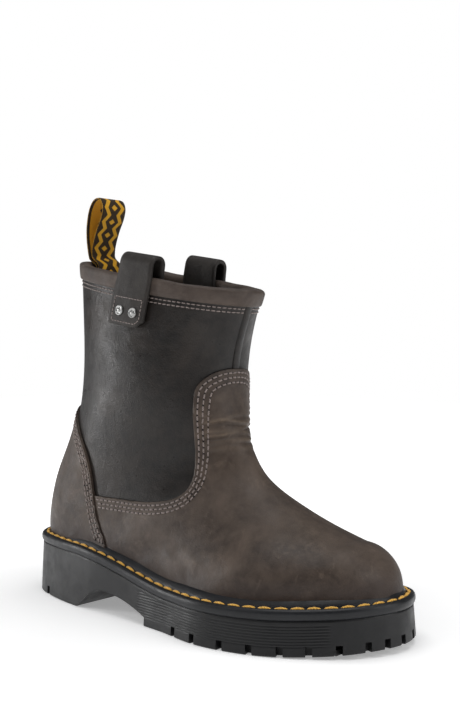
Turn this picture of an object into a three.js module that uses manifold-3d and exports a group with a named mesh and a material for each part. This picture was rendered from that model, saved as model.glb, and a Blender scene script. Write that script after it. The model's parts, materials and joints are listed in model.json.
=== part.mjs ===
// Steel toe work boot for the right foot: a slip-on rigger boot on a chunky welted sole.
// Millimetres. Toe towards +X, inner (medial) side towards +Y, +Z up, standing on z = 0.
import * as THREE from "three";
import { mergeVertices } from "three/addons/utils/BufferGeometryUtils.js";
import Module from "manifold-3d";

const wasm = await Module();
wasm.setup();

// ---------------------------------------------------------------- driving dimensions
const GAP = 0.3; // running gap between neighbouring pieces

// Overall sizes. The outlines below are drawn for a last 298.3 long and a shaft 254 high, and are graded
// from there: places along the boot follow the last's length, heights over the ankle follow the shaft's.
const LAST_LENGTH = 298.3; // from heel to toe along the line where the upper meets the welt
const SHAFT_HEIGHT = 254; // the collar's highest point over the floor
const DRAWN_LENGTH = 298.3;
const DRAWN_HEIGHT = 254;
const ANKLE_HEIGHT = 100;
const FAR = 2 * Math.max(LAST_LENGTH, SHAFT_HEIGHT); // well outside the boot

const along = (x) => (x * LAST_LENGTH) / DRAWN_LENGTH;
const raised = (z) => {
  const over = Math.max(z - ANKLE_HEIGHT, 0);
  return z - over + (over * (SHAFT_HEIGHT - ANKLE_HEIGHT)) / (DRAWN_HEIGHT - ANKLE_HEIGHT);
};
const graded = ([x, z]) => [along(x), raised(z)];

// The last, as sections that turn from the shaft opening to the toe box. Each row has the section's
// front or top point as [x, z], its back or bottom point, its outer and inner half width, where along it
// the section is widest, and how square its front and back halves are.
const STATIONS = [
  [[37.5, 228], [-126.5, 254], [42, 41.5], 0.5, [2.2, 2.2]],
  [[24.5, 192.5], [-122, 215.5], [45, 45], 0.5, [2.2, 2.2]],
  [[20.5, 165.5], [-121.5, 170], [45.5, 45.5], 0.5, [2.2, 2.2]],
  [[22.5, 144], [-128.5, 136], [44, 44], 0.52, [2.2, 2.2]],
  [[27, 129], [-143.5, 104], [41.5, 40.5], 0.55, [2.1, 2.3]],
  [[32.5, 118], [-154, 73.5], [41, 39.5], 0.6, [2, 2.5]],
  [[40.5, 106], [-153, 34], [42.5, 40], 0.62, [2, 2.6]],
  [[52.5, 95.5], [-100, 24], [47, 41], 0.64, [2, 3]],
  [[71, 85], [-25, 20], [51, 44], 0.64, [2, 3.3]],
  [[91.5, 74.5], [38, 16], [56, 49], 0.62, [2.1, 3.6]],
  [[115, 65.5], [85, 16], [54, 51], 0.6, [2.2, 3.8]],
].map(([front, back, [outer, inner], widest, [squareF, squareB]]) => ({
  front: graded(front), back: graded(back), outer, inner, widest, squareF, squareB,
}));
const TOE_TIP_X = along(145);
const TOE_TIP_Z = 18; // where the toe's curve closes, below the welt
const TOE_TURN = 9; // how far the toe box turns inwards
const TOE_TURN_START = along(20);
const TOE_FALL = -0.06; // slope of the cap's crown towards the tip
const TOE_ROUND = 2.95;
const TOE_LEAD = 3; // how far the toe box stands over the feather line at its tip
const TOE_LEAD_START = along(110);
const FIT_START = 6.2; // the section from which the widths begin to follow the feather line
const FIT_LENGTH = 1.3;
const LEAST_FULLNESS = 0.6;

// The feather line, where the upper meets the welt, seen from above, from the heel along the outer side.
const FEATHER = [
  [-156, 0], [-146.5, -23.5], [-121.5, -35], [-80, -43.5], [-35, -45.5], [5, -50], [45, -57.5],
  [81, -51.5], [109, -37.5], [130, -20], [142.3, 8], [133.5, 32.5], [111, 43.5], [82, 45.5],
  [45, 44.5], [5, 41.2], [-35, 39.8], [-80, 39], [-122, 35], [-147.5, 22.5],
].map(([x, y]) => [along(x), y]);

// Heights of the welt's top along the sole, and the sole's toe spring.
const HEEL_TOP = 45;
const FOREFOOT_TOP = 28.6;
const TOE_TOP = 34;
const DROP_START = along(-95);
const DROP_LENGTH = along(110);
const TOE_RISE_START = along(60);
const TOE_RISE_LENGTH = along(95);
const TOE_SPRING = 6.5;
const SPRING_START = along(75);
const SPRING_LENGTH = along(80);

// Layers of the upper, as depths below its outer face.
const LEATHER = 2;
const FELT = 2;
const LINING = 1.2;
const OUTER = [0, LEATHER];
const MIDDLE = [OUTER[1] + GAP, OUTER[1] + GAP + FELT];
const INNER = [MIDDLE[1] + GAP, MIDDLE[1] + GAP + LINING];

const OVERLAP = 12; // how far the quarters run under the vamp and the heel panel
const BAND_HEIGHT = 11;
const BAND_PROUD = 0.2;
const BAND_WALL = 1;
const BAND_LIP = 1.6;
const SEAM_TAPE_WIDTH = 6.6;
const SEAM_TAPE_DEPTH = [0.9, 2];

const WELT_MARGIN = 8.5; // welt beyond the feather line
const WELT_INSIDE = 6;
const WELT_THICKNESS = 3;
const WELT_LIP = 4.6;
const THREAD_WIDTH = 1.4;
const THREAD_INSET = 4.2;
const SOLE_FLARE = 1.6;
const BOARD = 3;
const FOAM = 5;
const COVER = 1;
const BOARD_CLEARANCE = 1;
const FOOTBED_CLEARANCE = 2.7;
const HEEL_PAD_FRONT = along(-88);
const SHANK = { back: along(-80), front: along(5), width: 19, thickness: 1.6 };
const CAP_BACK = along(86);
const BEAD_WIDTH = 6;

// The side pull straps. Heights are measured along the strap from the collar's top edge: rise over it,
// below it to the rivets, foot from the rivets to the outer end, inside down to the inner end.
const STRAP = { width: 33, thickness: 2.5, rise: 15.5, below: 26, foot: 10, inside: 20 };
const STRAP_CENTRE = { outer: along(-43.5), inner: along(-47) };
const STRAP_OFF_WALL = 0.6;
const STRAP_OFF_LINING = 1.4;
const RIVET = { head: 3.9, dome: 1.3, post: 1.4, spacing: 12, burr: 3.6, burrThickness: 1, hole: 1.75 };
const RIVET_TAIL = 0.5; // the post's length past its burr
const RIVET_OFF = 0.5;
const BURR_OFF = 0.95;

const LOOP = { width: 24, thickness: 1.4, root: 1.6, tail: 26, tailThickness: 2.2, inside: 0.5 };
const LOOP_CLEARANCE = 0.8; // from the loop's root down to the collar's edge
const NOTCH = { width: 3.6, height: 6.5, depth: 5 };

// ---------------------------------------------------------------- solids
// A closed geometry as a manifold-3d solid.
function solidOf(geometry) {
  const bare = new THREE.BufferGeometry().setAttribute("position", geometry.getAttribute("position"));
  if (geometry.index) bare.setIndex(geometry.index);
  const merged = mergeVertices(bare, 1e-4);
  return new wasm.Manifold(new wasm.Mesh({
    numProp: 3,
    vertProperties: new Float32Array(merged.attributes.position.array),
    triVerts: new Uint32Array(merged.index.array),
  }));
}

function geometryOf(solid) {
  const mesh = solid.getMesh();
  const geometry = new THREE.BufferGeometry();
  geometry.setAttribute("position", new THREE.BufferAttribute(new Float32Array(mesh.vertProperties), 3));
  geometry.setIndex(new THREE.BufferAttribute(new Uint32Array(mesh.triVerts), 1));
  geometry.computeVertexNormals();
  return geometry;
}

// A solid from rings of points, each ring closed; "loop" joins the last ring to the first.
function loft(rings, ends) {
  const n = rings[0].length;
  const positions = rings.flat().flatMap((p) => [p.x, p.y, p.z]);
  const faces = [];
  const last = ends === "loop" ? rings.length : rings.length - 1;
  for (let i = 0; i < last; i++) {
    const a = i * n;
    const b = ((i + 1) % rings.length) * n;
    for (let j = 0; j < n; j++) {
      const k = (j + 1) % n;
      faces.push(a + j, a + k, b + j, a + k, b + k, b + j);
    }
  }
  if (ends !== "loop") {
    capRing(faces, 0, n, false);
    capRing(faces, (rings.length - 1) * n, n, true);
  }
  const geometry = new THREE.BufferGeometry();
  geometry.setAttribute("position", new THREE.Float32BufferAttribute(positions, 3));
  geometry.setIndex(faces);
  const solid = solidOf(geometry);
  if (solid.volume() > 0) return solid;
  for (let f = 0; f < faces.length; f += 3) [faces[f], faces[f + 1]] = [faces[f + 1], faces[f]];
  geometry.setIndex(faces);
  return solidOf(geometry);
}

// Closes a ring with strips between the points that face each other across it.
function capRing(faces, start, n, turn) {
  for (let j = 0; j < n / 2; j++) {
    const quad = [start + j, start + j + 1, start + ((n - j - 1) % n), start + ((n - j) % n)];
    const triangles = [[quad[0], quad[2], quad[1]], [quad[0], quad[3], quad[2]]];
    for (const t of triangles) {
      if (new Set(t).size < 3) continue;
      faces.push(...(turn ? [t[0], t[2], t[1]] : t));
    }
  }
}

function extrudeShape(points, depth) {
  const shape = new THREE.Shape(points.map(([x, y]) => new THREE.Vector2(x, y)));
  return new THREE.ExtrudeGeometry(shape, { depth, bevelEnabled: false });
}

// A side view outline, given as [x, z], run through the whole width of the boot.
function sidePrism(points, y0 = -FAR, y1 = FAR) {
  const geometry = extrudeShape(points, y1 - y0);
  geometry.rotateX(Math.PI / 2);
  geometry.translate(0, y1, 0);
  return solidOf(geometry);
}

// An outline seen from above, run between two heights.
function planPrism(points, z0, z1) {
  const geometry = extrudeShape(points, z1 - z0);
  geometry.translate(0, 0, z0);
  return solidOf(geometry);
}

function box(x0, x1, y0, y1, z0, z1) {
  const geometry = new THREE.BoxGeometry(x1 - x0, y1 - y0, z1 - z0);
  geometry.translate((x0 + x1) / 2, (y0 + y1) / 2, (z0 + z1) / 2);
  return solidOf(geometry);
}

// ---------------------------------------------------------------- the last
// Natural cubic spline through evenly spaced values; straight beyond its ends.
function naturalSpline(values) {
  const n = values.length;
  const c = new Array(n).fill(0);
  const lower = new Array(n).fill(0);
  const solved = new Array(n).fill(0);
  for (let i = 1; i < n - 1; i++) {
    const k = 4 - lower[i - 1];
    lower[i] = 1 / k;
    solved[i] = (3 * (values[i + 1] - 2 * values[i] + values[i - 1]) - solved[i - 1]) / k;
  }
  for (let i = n - 2; i > 0; i--) c[i] = solved[i] - lower[i] * c[i + 1];
  return (t) => {
    if (t < 0) return values[0] + t * (values[1] - values[0] - c[1] / 3);
    const i = Math.min(Math.floor(t), n - 2);
    const u = t - i;
    const b = values[i + 1] - values[i] - (2 * c[i] + c[i + 1]) / 3;
    return values[i] + u * (b + u * (c[i] + (u * (c[i + 1] - c[i])) / 3));
  };
}

const smooth = (u) => {
  const v = Math.min(Math.max(u, 0), 1);
  return v * v * (3 - 2 * v);
};
const clamp01 = (u) => Math.min(Math.max(u, 0), 1);

function weltTop(x) {
  const down = (FOREFOOT_TOP - HEEL_TOP) * smooth((x - DROP_START) / DROP_LENGTH);
  const up = (TOE_TOP - FOREFOOT_TOP) * clamp01((x - TOE_RISE_START) / TOE_RISE_LENGTH) ** 2;
  return HEEL_TOP + down + up;
}
const treadBottom = (x) => TOE_SPRING * clamp01((x - SPRING_START) / SPRING_LENGTH) ** 2;
const toeCentre = (x) => TOE_TURN * clamp01((x - TOE_TURN_START) / (TOE_TIP_X - TOE_TURN_START)) ** 2;
const collarLine = (x) => {
  const { front, back } = STATIONS[0];
  return front[1] + ((back[1] - front[1]) * (x - front[0])) / (back[0] - front[0]);
};

const featherCurve = new THREE.CatmullRomCurve3(
  FEATHER.map(([x, y]) => new THREE.Vector3(x, y, 0)), true, "centripetal",
);
const featherFine = featherCurve.getPoints(400).slice(0, -1);
const heelTip = featherFine.reduce((a, b) => (b.x < a.x ? b : a));
const toeTip = featherFine.reduce((a, b) => (b.x > a.x ? b : a));

// The feather line's y at x on one side: -1 is the outer side, +1 the inner.
function featherY(x, side) {
  const from = featherFine.indexOf(side < 0 ? heelTip : toeTip);
  const to = featherFine.indexOf(side < 0 ? toeTip : heelTip);
  const n = featherFine.length;
  const count = (to - from + n) % n;
  for (let i = 0; i < count; i++) {
    const a = featherFine[(from + i) % n];
    const b = featherFine[(from + i + 1) % n];
    if ((a.x - x) * (b.x - x) <= 0 && a.x !== b.x) return a.y + ((b.y - a.y) * (x - a.x)) / (b.x - a.x);
  }
  return x < heelTip.x ? heelTip.y : toeTip.y;
}

const LAST_STATION = STATIONS.length - 1;
const stationValues = (pick) => naturalSpline(STATIONS.map(pick));
const curves = {
  frontX: stationValues((s) => s.front[0]),
  frontZ: stationValues((s) => s.front[1]),
  backX: stationValues((s) => s.back[0]),
  backZ: stationValues((s) => s.back[1]),
  outer: stationValues((s) => s.outer),
  inner: stationValues((s) => s.inner),
  widest: stationValues((s) => s.widest),
  squareF: stationValues((s) => s.squareF),
  squareB: stationValues((s) => s.squareB),
};

// One section of the last: 0 at the opening, LAST_STATION where the toe box starts to close, and 1 more
// at its tip.
function section(t) {
  const s = {};
  for (const key of Object.keys(curves)) s[key] = curves[key](Math.min(t, LAST_STATION));
  if (t > LAST_STATION) {
    const angle = Math.min(t - LAST_STATION, 1) * (Math.PI / 2);
    const across = Math.sin(angle);
    const height = Math.max(Math.cos(angle), 0) ** (2 / TOE_ROUND);
    const x = s.frontX + (TOE_TIP_X - s.frontX) * across;
    s.frontZ = (s.frontZ + TOE_FALL * (x - s.frontX) - TOE_TIP_Z) * height + TOE_TIP_Z;
    s.frontX = x;
    s.backX += (TOE_TIP_X - s.backX) * across;
    s.backZ += (TOE_TIP_Z - s.backZ) * across ** 2;
  }
  fitToFeather(s, t);
  return s;
}

// Towards the toe the section's widths are those that carry it through the feather line at the welt.
function fitToFeather(s, t) {
  const share = smooth((t - FIT_START) / FIT_LENGTH);
  if (share === 0) return;
  let low = 0;
  let high = 1;
  for (let i = 0; i < 24; i++) {
    const p = (low + high) / 2;
    const above = s.frontZ + (s.backZ - s.frontZ) * p - weltTop(s.frontX + (s.backX - s.frontX) * p);
    if (above > 0) low = p;
    else high = p;
  }
  const x = s.frontX + (s.backX - s.frontX) * low;
  const behind = low > s.widest;
  const reach = clamp01(behind ? (low - s.widest) / (1 - s.widest) : (s.widest - low) / s.widest);
  const power = behind ? s.squareB : s.squareF;
  const fullness = Math.max((1 - reach ** power) ** (1 / power), LEAST_FULLNESS);
  const centre = toeCentre(x);
  const lead = TOE_LEAD * clamp01((x - TOE_LEAD_START) / (TOE_TIP_X - TOE_LEAD_START)) ** 2;
  s.outer += ((centre - featherY(x - lead, -1)) / fullness - s.outer) * share;
  s.inner += ((featherY(x - lead, 1) - centre) / fullness - s.inner) * share;
}

// The point of a section at an angle round it: 0 at the front or top, a quarter turn at the outer side.
function pointOf(s, angle) {
  const c = Math.cos(angle);
  const q = Math.sin(angle);
  const power = c >= 0 ? s.squareF : s.squareB;
  const r = 1 / (Math.abs(c) ** power + Math.abs(q) ** power) ** (1 / power);
  const along = Math.abs(c) * r;
  const p = c >= 0 ? s.widest * (1 - along) : s.widest + (1 - s.widest) * along;
  const x = s.frontX + (s.backX - s.frontX) * p;
  const z = s.frontZ + (s.backZ - s.frontZ) * p;
  const half = q >= 0 ? s.outer : s.inner;
  return new THREE.Vector3(x, toeCentre(x) - Math.sign(q) * half * Math.abs(q) * r, z);
}

const lastPoint = (t, angle) => pointOf(section(t), angle);
function lastPointAt(t, angle, depth) {
  const d = 0.02;
  const alongT = lastPoint(t + d, angle).sub(lastPoint(t - d, angle));
  const round = lastPoint(t, angle + d).sub(lastPoint(t, angle - d));
  const inward = new THREE.Vector3().crossVectors(alongT, round).normalize();
  return lastPoint(t, angle).addScaledVector(inward, depth);
}

const EXTRA = 0.16; // sections above the opening, cut away where the collar ends
const ROUND_STEPS = 24;
const ROWS = [-EXTRA, 0, 0.8, 1.6, 2.4, 3.2, 4, 4.8, 5.4, 5.85, 6.3, 6.9, 7.6, 8.4, 9.3, 10, 10.4, 10.65,
  10.78, 10.87, 10.94];

// The whole last as one solid, its skin at a depth below the upper's outer face.
const lastSolids = new Map();
function lastSolid(depth) {
  if (!lastSolids.has(depth)) {
    const rings = ROWS.map((t) => Array.from({ length: ROUND_STEPS }, (_, j) =>
      lastPointAt(t, (j / ROUND_STEPS) * 2 * Math.PI, depth)));
    lastSolids.set(depth, loft(rings, "capped"));
  }
  return lastSolids.get(depth);
}

// ---------------------------------------------------------------- outlines
function spline(points, count) {
  const curve = new THREE.SplineCurve(points.map(([x, y]) => new THREE.Vector2(x, y)));
  return curve.getPoints(count).map((p) => [p.x, p.y]);
}

// Moves an open outline sideways, to its right for a positive distance.
function shifted(points, distance) {
  return points.map(([x, y], i) => {
    const a = points[Math.max(i - 1, 0)];
    const b = points[Math.min(i + 1, points.length - 1)];
    const length = Math.hypot(b[0] - a[0], b[1] - a[1]);
    return [x + ((b[1] - a[1]) / length) * distance, y - ((b[0] - a[0]) / length) * distance];
  });
}

// The vamp's top and back edge, from behind the heel panel forward and up to the front of the ankle.
const VAMP_EDGE = spline([
  [-100, 82], [-80, 81.5], [-58, 81.5], [-32, 81.7], [-12, 84.5], [-1, 89.5], [4, 98], [5, 110],
  [5.2, 130], [5.5, 150], [7, 162], [12, 169.5], [20, 175.5], [32, 179],
].map(graded), 26);
// The heel panel's front edge, from below the welt up and back to the middle of the heel.
const HEEL_EDGE = spline([
  [-56, 30], [-65, 50.5], [-71, 57.5], [-77, 67.5], [-81, 81], [-83.5, 92], [-87.5, 105], [-95, 118],
  [-108, 134], [-122, 145], [-140, 150],
].map(graded), 16);
const vampRegion = (inset) => {
  const edge = shifted(VAMP_EDGE, inset);
  return sidePrism([...edge, [FAR, edge.at(-1)[1]], [FAR, -FAR], [edge[0][0], -FAR]]);
};
const heelRegion = (inset) => {
  const edge = shifted(HEEL_EDGE, -inset);
  return sidePrism([...edge, [-FAR, edge.at(-1)[1]], [-FAR, -FAR], [edge[0][0], -FAR]]);
};

// Where the welt's height is sampled: closer together where it bends.
const PROFILE_X = [
  FAR, ...[150, 130, 110, 85, 60, 15, 5, -5, -16, -28, -40, -52, -64, -75, -85, -95].map(along), -FAR,
];
// Everything below the welt's top, or below a height over it.
function underWelt(height) {
  const top = [];
  for (const x of PROFILE_X) top.push([x, weltTop(x) + height]);
  return sidePrism([[-FAR, -FAR], [FAR, -FAR], ...top]);
}
const strip = (low, high) => underWelt(high).subtract(underWelt(low));
const aboveCollar = (drop) => sidePrism([
  [-FAR, collarLine(-FAR) - drop], [FAR, collarLine(FAR) - drop], [FAR, FAR], [-FAR, FAR],
]);

function layer([outside, inside], topDrop) {
  return lastSolid(outside)
    .subtract(lastSolid(inside))
    .subtract(underWelt(GAP))
    .subtract(aboveCollar(topDrop));
}

// ---------------------------------------------------------------- outlines of the sole
const SOLE_STEPS = 56;
// Feather line points whose outer and inner halves face each other, closer together at heel and toe.
function featherRing() {
  const half = SOLE_STEPS / 2;
  const middle = (heelTip.x + toeTip.x) / 2;
  const reach = (toeTip.x - heelTip.x) / 2;
  return Array.from({ length: SOLE_STEPS }, (_, i) => {
    if (i === 0) return [heelTip.x, heelTip.y];
    if (i === half) return [toeTip.x, toeTip.y];
    const x = middle - reach * Math.cos((Math.PI * i) / half);
    return [x, featherY(x, i < half ? -1 : 1)];
  });
}
const FEATHER_RING = featherRing();
function outline(distance) {
  const n = FEATHER_RING.length;
  return FEATHER_RING.map(([x, y], i) => {
    const a = FEATHER_RING[(i + n - 1) % n];
    const b = FEATHER_RING[(i + 1) % n];
    const length = Math.hypot(b[0] - a[0], b[1] - a[1]);
    return [x + ((b[1] - a[1]) / length) * distance, y - ((b[0] - a[0]) / length) * distance];
  });
}
function ringAt(distance, height) {
  return outline(distance).map(([x, y]) => new THREE.Vector3(x, y, height(x)));
}

// A strip that runs round the boot. Its section is given as [distance out from the feather line, height
// over the welt].
function roundBoot(sectionPoints) {
  const rings = sectionPoints.map(([distance, height]) => ringAt(distance, (x) => weltTop(x) + height));
  return loft(rings, "loop");
}

// ---------------------------------------------------------------- the bottom
const SOLE_TOP = -WELT_THICKNESS;
const FILLER_LOW = SOLE_TOP + 2 * GAP;
function outsole() {
  const top = (x) => weltTop(x) + SOLE_TOP;
  const up = (share) => (x) => treadBottom(x) + (top(x) - treadBottom(x)) * share;
  const rings = [
    ringAt(WELT_MARGIN + SOLE_FLARE - 1.2, treadBottom),
    ringAt(WELT_MARGIN + SOLE_FLARE, (x) => treadBottom(x) + 1.2),
    ringAt(WELT_MARGIN + SOLE_FLARE * 0.5, up(0.3)),
    ringAt(WELT_MARGIN, up(0.6)),
    ringAt(WELT_MARGIN - 0.2, (x) => top(x) - 4.6),
    ringAt(WELT_MARGIN + 0.9, (x) => top(x) - 3.4),
    ringAt(WELT_MARGIN + 1.2, (x) => top(x) - 1.8),
    ringAt(WELT_MARGIN + 0.4, top),
  ];
  let sole = loft(rings, "capped");
  sole = sole.subtract(archGap());
  for (const cut of notches()) sole = sole.subtract(cut);
  for (const cut of treadGrooves()) sole = sole.subtract(cut);
  return sole;
}

// The gap under the waist, between the heel's sloping breast and the forefoot tread.
const ARCH = [[-90, 0], [-81, 6], [-71, 13.5], [-60, 16.5], [-42, 14.6], [-26, 10.6], [-13.5, 6]]
  .map(([x, z]) => [along(x), z]);
const ARCH_STEP = 1.5; // slope of the tread's back face
function archGap() {
  const front = ARCH.at(-1)[0] + ARCH_STEP;
  return sidePrism([...spline(ARCH, 16), [front, 0], [front, -5], [ARCH[0][0], -5]]);
}

// A wedge cut into the sole's lower edge at each place, given as a share of the ring from the heel round.
function notches() {
  const places = [2, 4.4, 6.6, 8.6, 16.2, 17.8, 19.4, 21, 22.5, 23.9, 25.3, 26.6, 27.6];
  const edge = outline(WELT_MARGIN + SOLE_FLARE);
  return places.flatMap((place) => [place, SOLE_STEPS - place]).map((place) => {
    const i = Math.floor(place);
    const a = edge[i % SOLE_STEPS];
    const b = edge[(i + 1) % SOLE_STEPS];
    const x = a[0] + (b[0] - a[0]) * (place - i);
    const y = a[1] + (b[1] - a[1]) * (place - i);
    const bottom = treadBottom(x);
    const wedge = extrudeShape([
      [-NOTCH.width / 2, -3], [NOTCH.width / 2, -3], [0.5, NOTCH.height], [-0.5, NOTCH.height],
    ], 2 * NOTCH.depth);
    wedge.translate(0, 0, -NOTCH.depth);
    wedge.rotateX(Math.PI / 2);
    wedge.rotateZ(Math.atan2(b[1] - a[1], b[0] - a[0]));
    wedge.translate(x, y, bottom);
    return solidOf(wedge);
  });
}

// Grooves across the tread that stop short of its edge.
const GROOVE = { width: 3.2, depth: 3, edge: 1 };
function treadGrooves() {
  const across = [-142, -126, -110, 4, 22, 40, 58, 76, 94, 112, 128].map(along);
  return across.map((x) => {
    const low = treadBottom(x);
    const half = GROOVE.width / 2;
    const [outer, inner] = [featherY(x, -1) + GROOVE.edge, featherY(x, 1) - GROOVE.edge];
    return box(x - half, x + half, outer, inner, low - 8, low + GROOVE.depth);
  });
}

function welt() {
  const edge = WELT_MARGIN;
  const ring = roundBoot([
    [-WELT_INSIDE, SOLE_TOP + GAP], [-WELT_INSIDE, 0], [-3, 0], [-3, WELT_LIP], [1.6, WELT_LIP],
    [3.6, 0.6], [edge - 1, 0.5], [edge, -0.4], [edge, SOLE_TOP + GAP],
  ]);
  return ring.subtract(lastSolid(-GAP).subtract(underWelt(0)));
}
function weltThread() {
  const a = WELT_MARGIN - THREAD_INSET;
  const b = a + THREAD_WIDTH;
  return roundBoot([[a, 0.5 + GAP], [a, 1.5], [b, 1.5], [b, 0.5 + GAP]]);
}

const insideWelt = () => planPrism(outline(-WELT_INSIDE - GAP - 0.1), 0, FAR);
function shankSlot(clearance) {
  const half = SHANK.width / 2 + clearance;
  return box(SHANK.back - clearance, SHANK.front + clearance, -half, half, 0, FAR);
}
const fillerStrip = () => strip(FILLER_LOW, 0).intersect(insideWelt());
const behind = (x) => box(-FAR, x, -FAR, FAR, -FAR, FAR);
const ahead = (x) => box(x, FAR, -FAR, FAR, -FAR, FAR);
const outerSide = (y) => box(-FAR, FAR, -FAR, y, -FAR, FAR);
const innerSide = (y) => box(-FAR, FAR, y, FAR, -FAR, FAR);

// ---------------------------------------------------------------- the upper
const vamp = () => layer(OUTER, 0).intersect(vampRegion(0)).subtract(heelRegion(-GAP - 0.05));
const heelPanel = () => layer(OUTER, 0).intersect(heelRegion(0));
const middleLayer = () => layer(MIDDLE, BAND_LIP + GAP);
const quarters = () => middleLayer().subtract(vampRegion(OVERLAP)).subtract(heelRegion(OVERLAP));
const vampBacking = () => middleLayer().intersect(vampRegion(OVERLAP + GAP)).subtract(heelRegion(0));
const lining = () => layer(INNER, BAND_LIP + GAP);
// The vamp lining's share: everything below and ahead of a line that slopes up to the front of the ankle.
const liningSplit = (clearance) => {
  const [back, front] = [[-60, 60], [60, 90]].map(graded);
  return sidePrism([
    [FAR, front[1] + clearance], [front[0], front[1] + clearance], [back[0], back[1] + clearance],
    [back[0] - clearance, -FAR], [FAR, -FAR],
  ]);
};

function collarBand() {
  const outside = -BAND_PROUD;
  const inside = INNER[1] + GAP + BAND_WALL;
  const whole = lastSolid(outside).subtract(lastSolid(inside)).subtract(aboveCollar(0));
  const core = lastSolid(OUTER[1] - 0.1).subtract(lastSolid(INNER[1] + GAP)).subtract(aboveCollar(BAND_LIP));
  return whole.subtract(core).intersect(aboveCollar(BAND_HEIGHT));
}

// Piping over the shaft's front or back seam, between the collar band and the panel below it.
function seamTape(front) {
  const half = SEAM_TAPE_WIDTH / 2;
  const middle = STATIONS[0].back[0] / 2;
  const ridge = layer(SEAM_TAPE_DEPTH, BAND_HEIGHT + GAP)
    .intersect(outerSide(half)).intersect(innerSide(-half))
    .intersect(front ? ahead(middle) : behind(middle));
  return front ? ridge.subtract(vampRegion(-GAP)) : ridge.subtract(heelRegion(-GAP));
}

// ---------------------------------------------------------------- straps and rivets
const RIM_ANGLE = Math.atan2(collarLine(0) - collarLine(1), 1);
const up2 = [Math.sin(RIM_ANGLE), Math.cos(RIM_ANGLE)];
const along2 = [Math.cos(RIM_ANGLE), -Math.sin(RIM_ANGLE)];

// The wall's y at a place in side view, at a depth below the upper's outer face.
function wallY(x, z, side, depth) {
  let t0 = -EXTRA;
  let t1 = 2.5;
  let point;
  for (let i = 0; i < 18; i++) {
    const t = (t0 + t1) / 2;
    let a = 0.15 * Math.PI;
    let b = 0.85 * Math.PI;
    for (let j = 0; j < 18; j++) {
      const angle = (a + b) / 2;
      point = lastPointAt(t, side < 0 ? angle : 2 * Math.PI - angle, depth);
      if (point.x > x) a = angle;
      else b = angle;
    }
    if (point.z > z) t0 = t;
    else t1 = t;
  }
  return point.y;
}

// A ribbon's outline: a centre line given half its thickness to each side.
const ribbon = (points, thickness) =>
  [...shifted(points, thickness / 2), ...shifted(points, -thickness / 2).reverse()];

// Places on a strap's middle line: a height over the collar's top edge, along the strap.
function strapPlace(side, height) {
  const x0 = side < 0 ? STRAP_CENTRE.outer : STRAP_CENTRE.inner;
  const foot = [x0, collarLine(x0) - STRAP.below * up2[1]];
  return [foot[0] + (height + STRAP.below) * up2[0], foot[1] + (height + STRAP.below) * up2[1]];
}
const strapWall = (side, height, depth) => {
  const [x, z] = strapPlace(side, Math.min(height, -1));
  return wallY(x, z, side, depth);
};

function strap(side) {
  const half = STRAP.thickness / 2;
  const outY = (h) => Math.abs(strapWall(side, h, -STRAP_OFF_WALL - half));
  const inY = (h) => Math.abs(strapWall(side, h, INNER[1] + GAP + BAND_WALL + STRAP_OFF_LINING + half));
  const low = -STRAP.below - STRAP.foot;
  const legs = [low, -28, -20, -12, -4, 0].map((h) => [outY(h), h]);
  const radius = (outY(0) - inY(0)) / 2;
  const straight = Math.max(STRAP.rise - half - radius, 0);
  const arch = Array.from({ length: 9 }, (_, i) => {
    const a = (i / 8) * Math.PI;
    return [inY(0) + radius + radius * Math.cos(a), straight + radius * Math.sin(a)];
  });
  const inside = [0, -8, -STRAP.inside].map((h) => [inY(h), h]);
  const geometry = extrudeShape(ribbon([...legs, ...arch, ...inside], STRAP.thickness), STRAP.width);
  geometry.translate(0, 0, -STRAP.width / 2);
  const [x, z] = strapPlace(side, 0);
  const frame = new THREE.Matrix4().set(
    0, up2[0], along2[0], x,
    side, 0, 0, 0,
    0, up2[1], along2[1], z,
    0, 0, 0, 1,
  );
  geometry.applyMatrix4(frame);
  let solid = orient(geometry);
  for (const place of rivetPlaces(side)) solid = solid.subtract(rivetHole(place, side));
  return solid;
}

// A solid from a geometry that a mirroring frame may have turned inside out.
function orient(geometry) {
  const solid = solidOf(geometry);
  if (solid.volume() > 0) return solid;
  const flat = geometry.index ? geometry.toNonIndexed() : geometry;
  const p = flat.getAttribute("position");
  for (let i = 0; i < p.count; i += 3) {
    const [ax, ay, az] = [p.getX(i), p.getY(i), p.getZ(i)];
    p.setXYZ(i, p.getX(i + 1), p.getY(i + 1), p.getZ(i + 1));
    p.setXYZ(i + 1, ax, ay, az);
  }
  return solidOf(flat);
}

function rivetPlaces(side) {
  const [x, z] = strapPlace(side, -STRAP.below);
  const half = RIVET.spacing / 2;
  return [-half, half].map((d) => [x + d * along2[0], z + d * along2[1]]);
}

// A turned piece whose profile runs from the axis out and back, its axis along Y, outwards on its side.
function turned(profile, side, [x, z], steps = 12) {
  const geometry = new THREE.LatheGeometry(profile.map(([r, y]) => new THREE.Vector2(r, y)), steps);
  if (side < 0) geometry.rotateX(Math.PI);
  geometry.translate(x, 0, z);
  return orient(geometry);
}
const rivetHole = (place, side) =>
  turned([[0, 20], [RIVET.hole, 20], [RIVET.hole, 70], [0, 70]], side, place, 12);

function rivet(side, place) {
  const [x, z] = place;
  const face = Math.abs(wallY(x, z, side, -STRAP_OFF_WALL)) + STRAP.thickness + RIVET_OFF;
  const end = Math.abs(wallY(x, z, side, INNER[1])) - BURR_OFF - RIVET.burrThickness - RIVET_TAIL;
  const { post, head, dome } = RIVET;
  return turned([
    [0, end], [post, end], [post, face], [head, face], [head * 0.93, face + dome * 0.5],
    [head * 0.6, face + dome * 0.92], [0, face + dome],
  ], side, place);
}
function rivetBurr(side, place) {
  const [x, z] = place;
  const face = Math.abs(wallY(x, z, side, INNER[1])) - BURR_OFF;
  const back = face - RIVET.burrThickness;
  return turned([
    [RIVET.hole, back], [RIVET.burr, back], [RIVET.burr, face], [RIVET.hole, face], [RIVET.hole, back],
  ], side, place);
}

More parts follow.
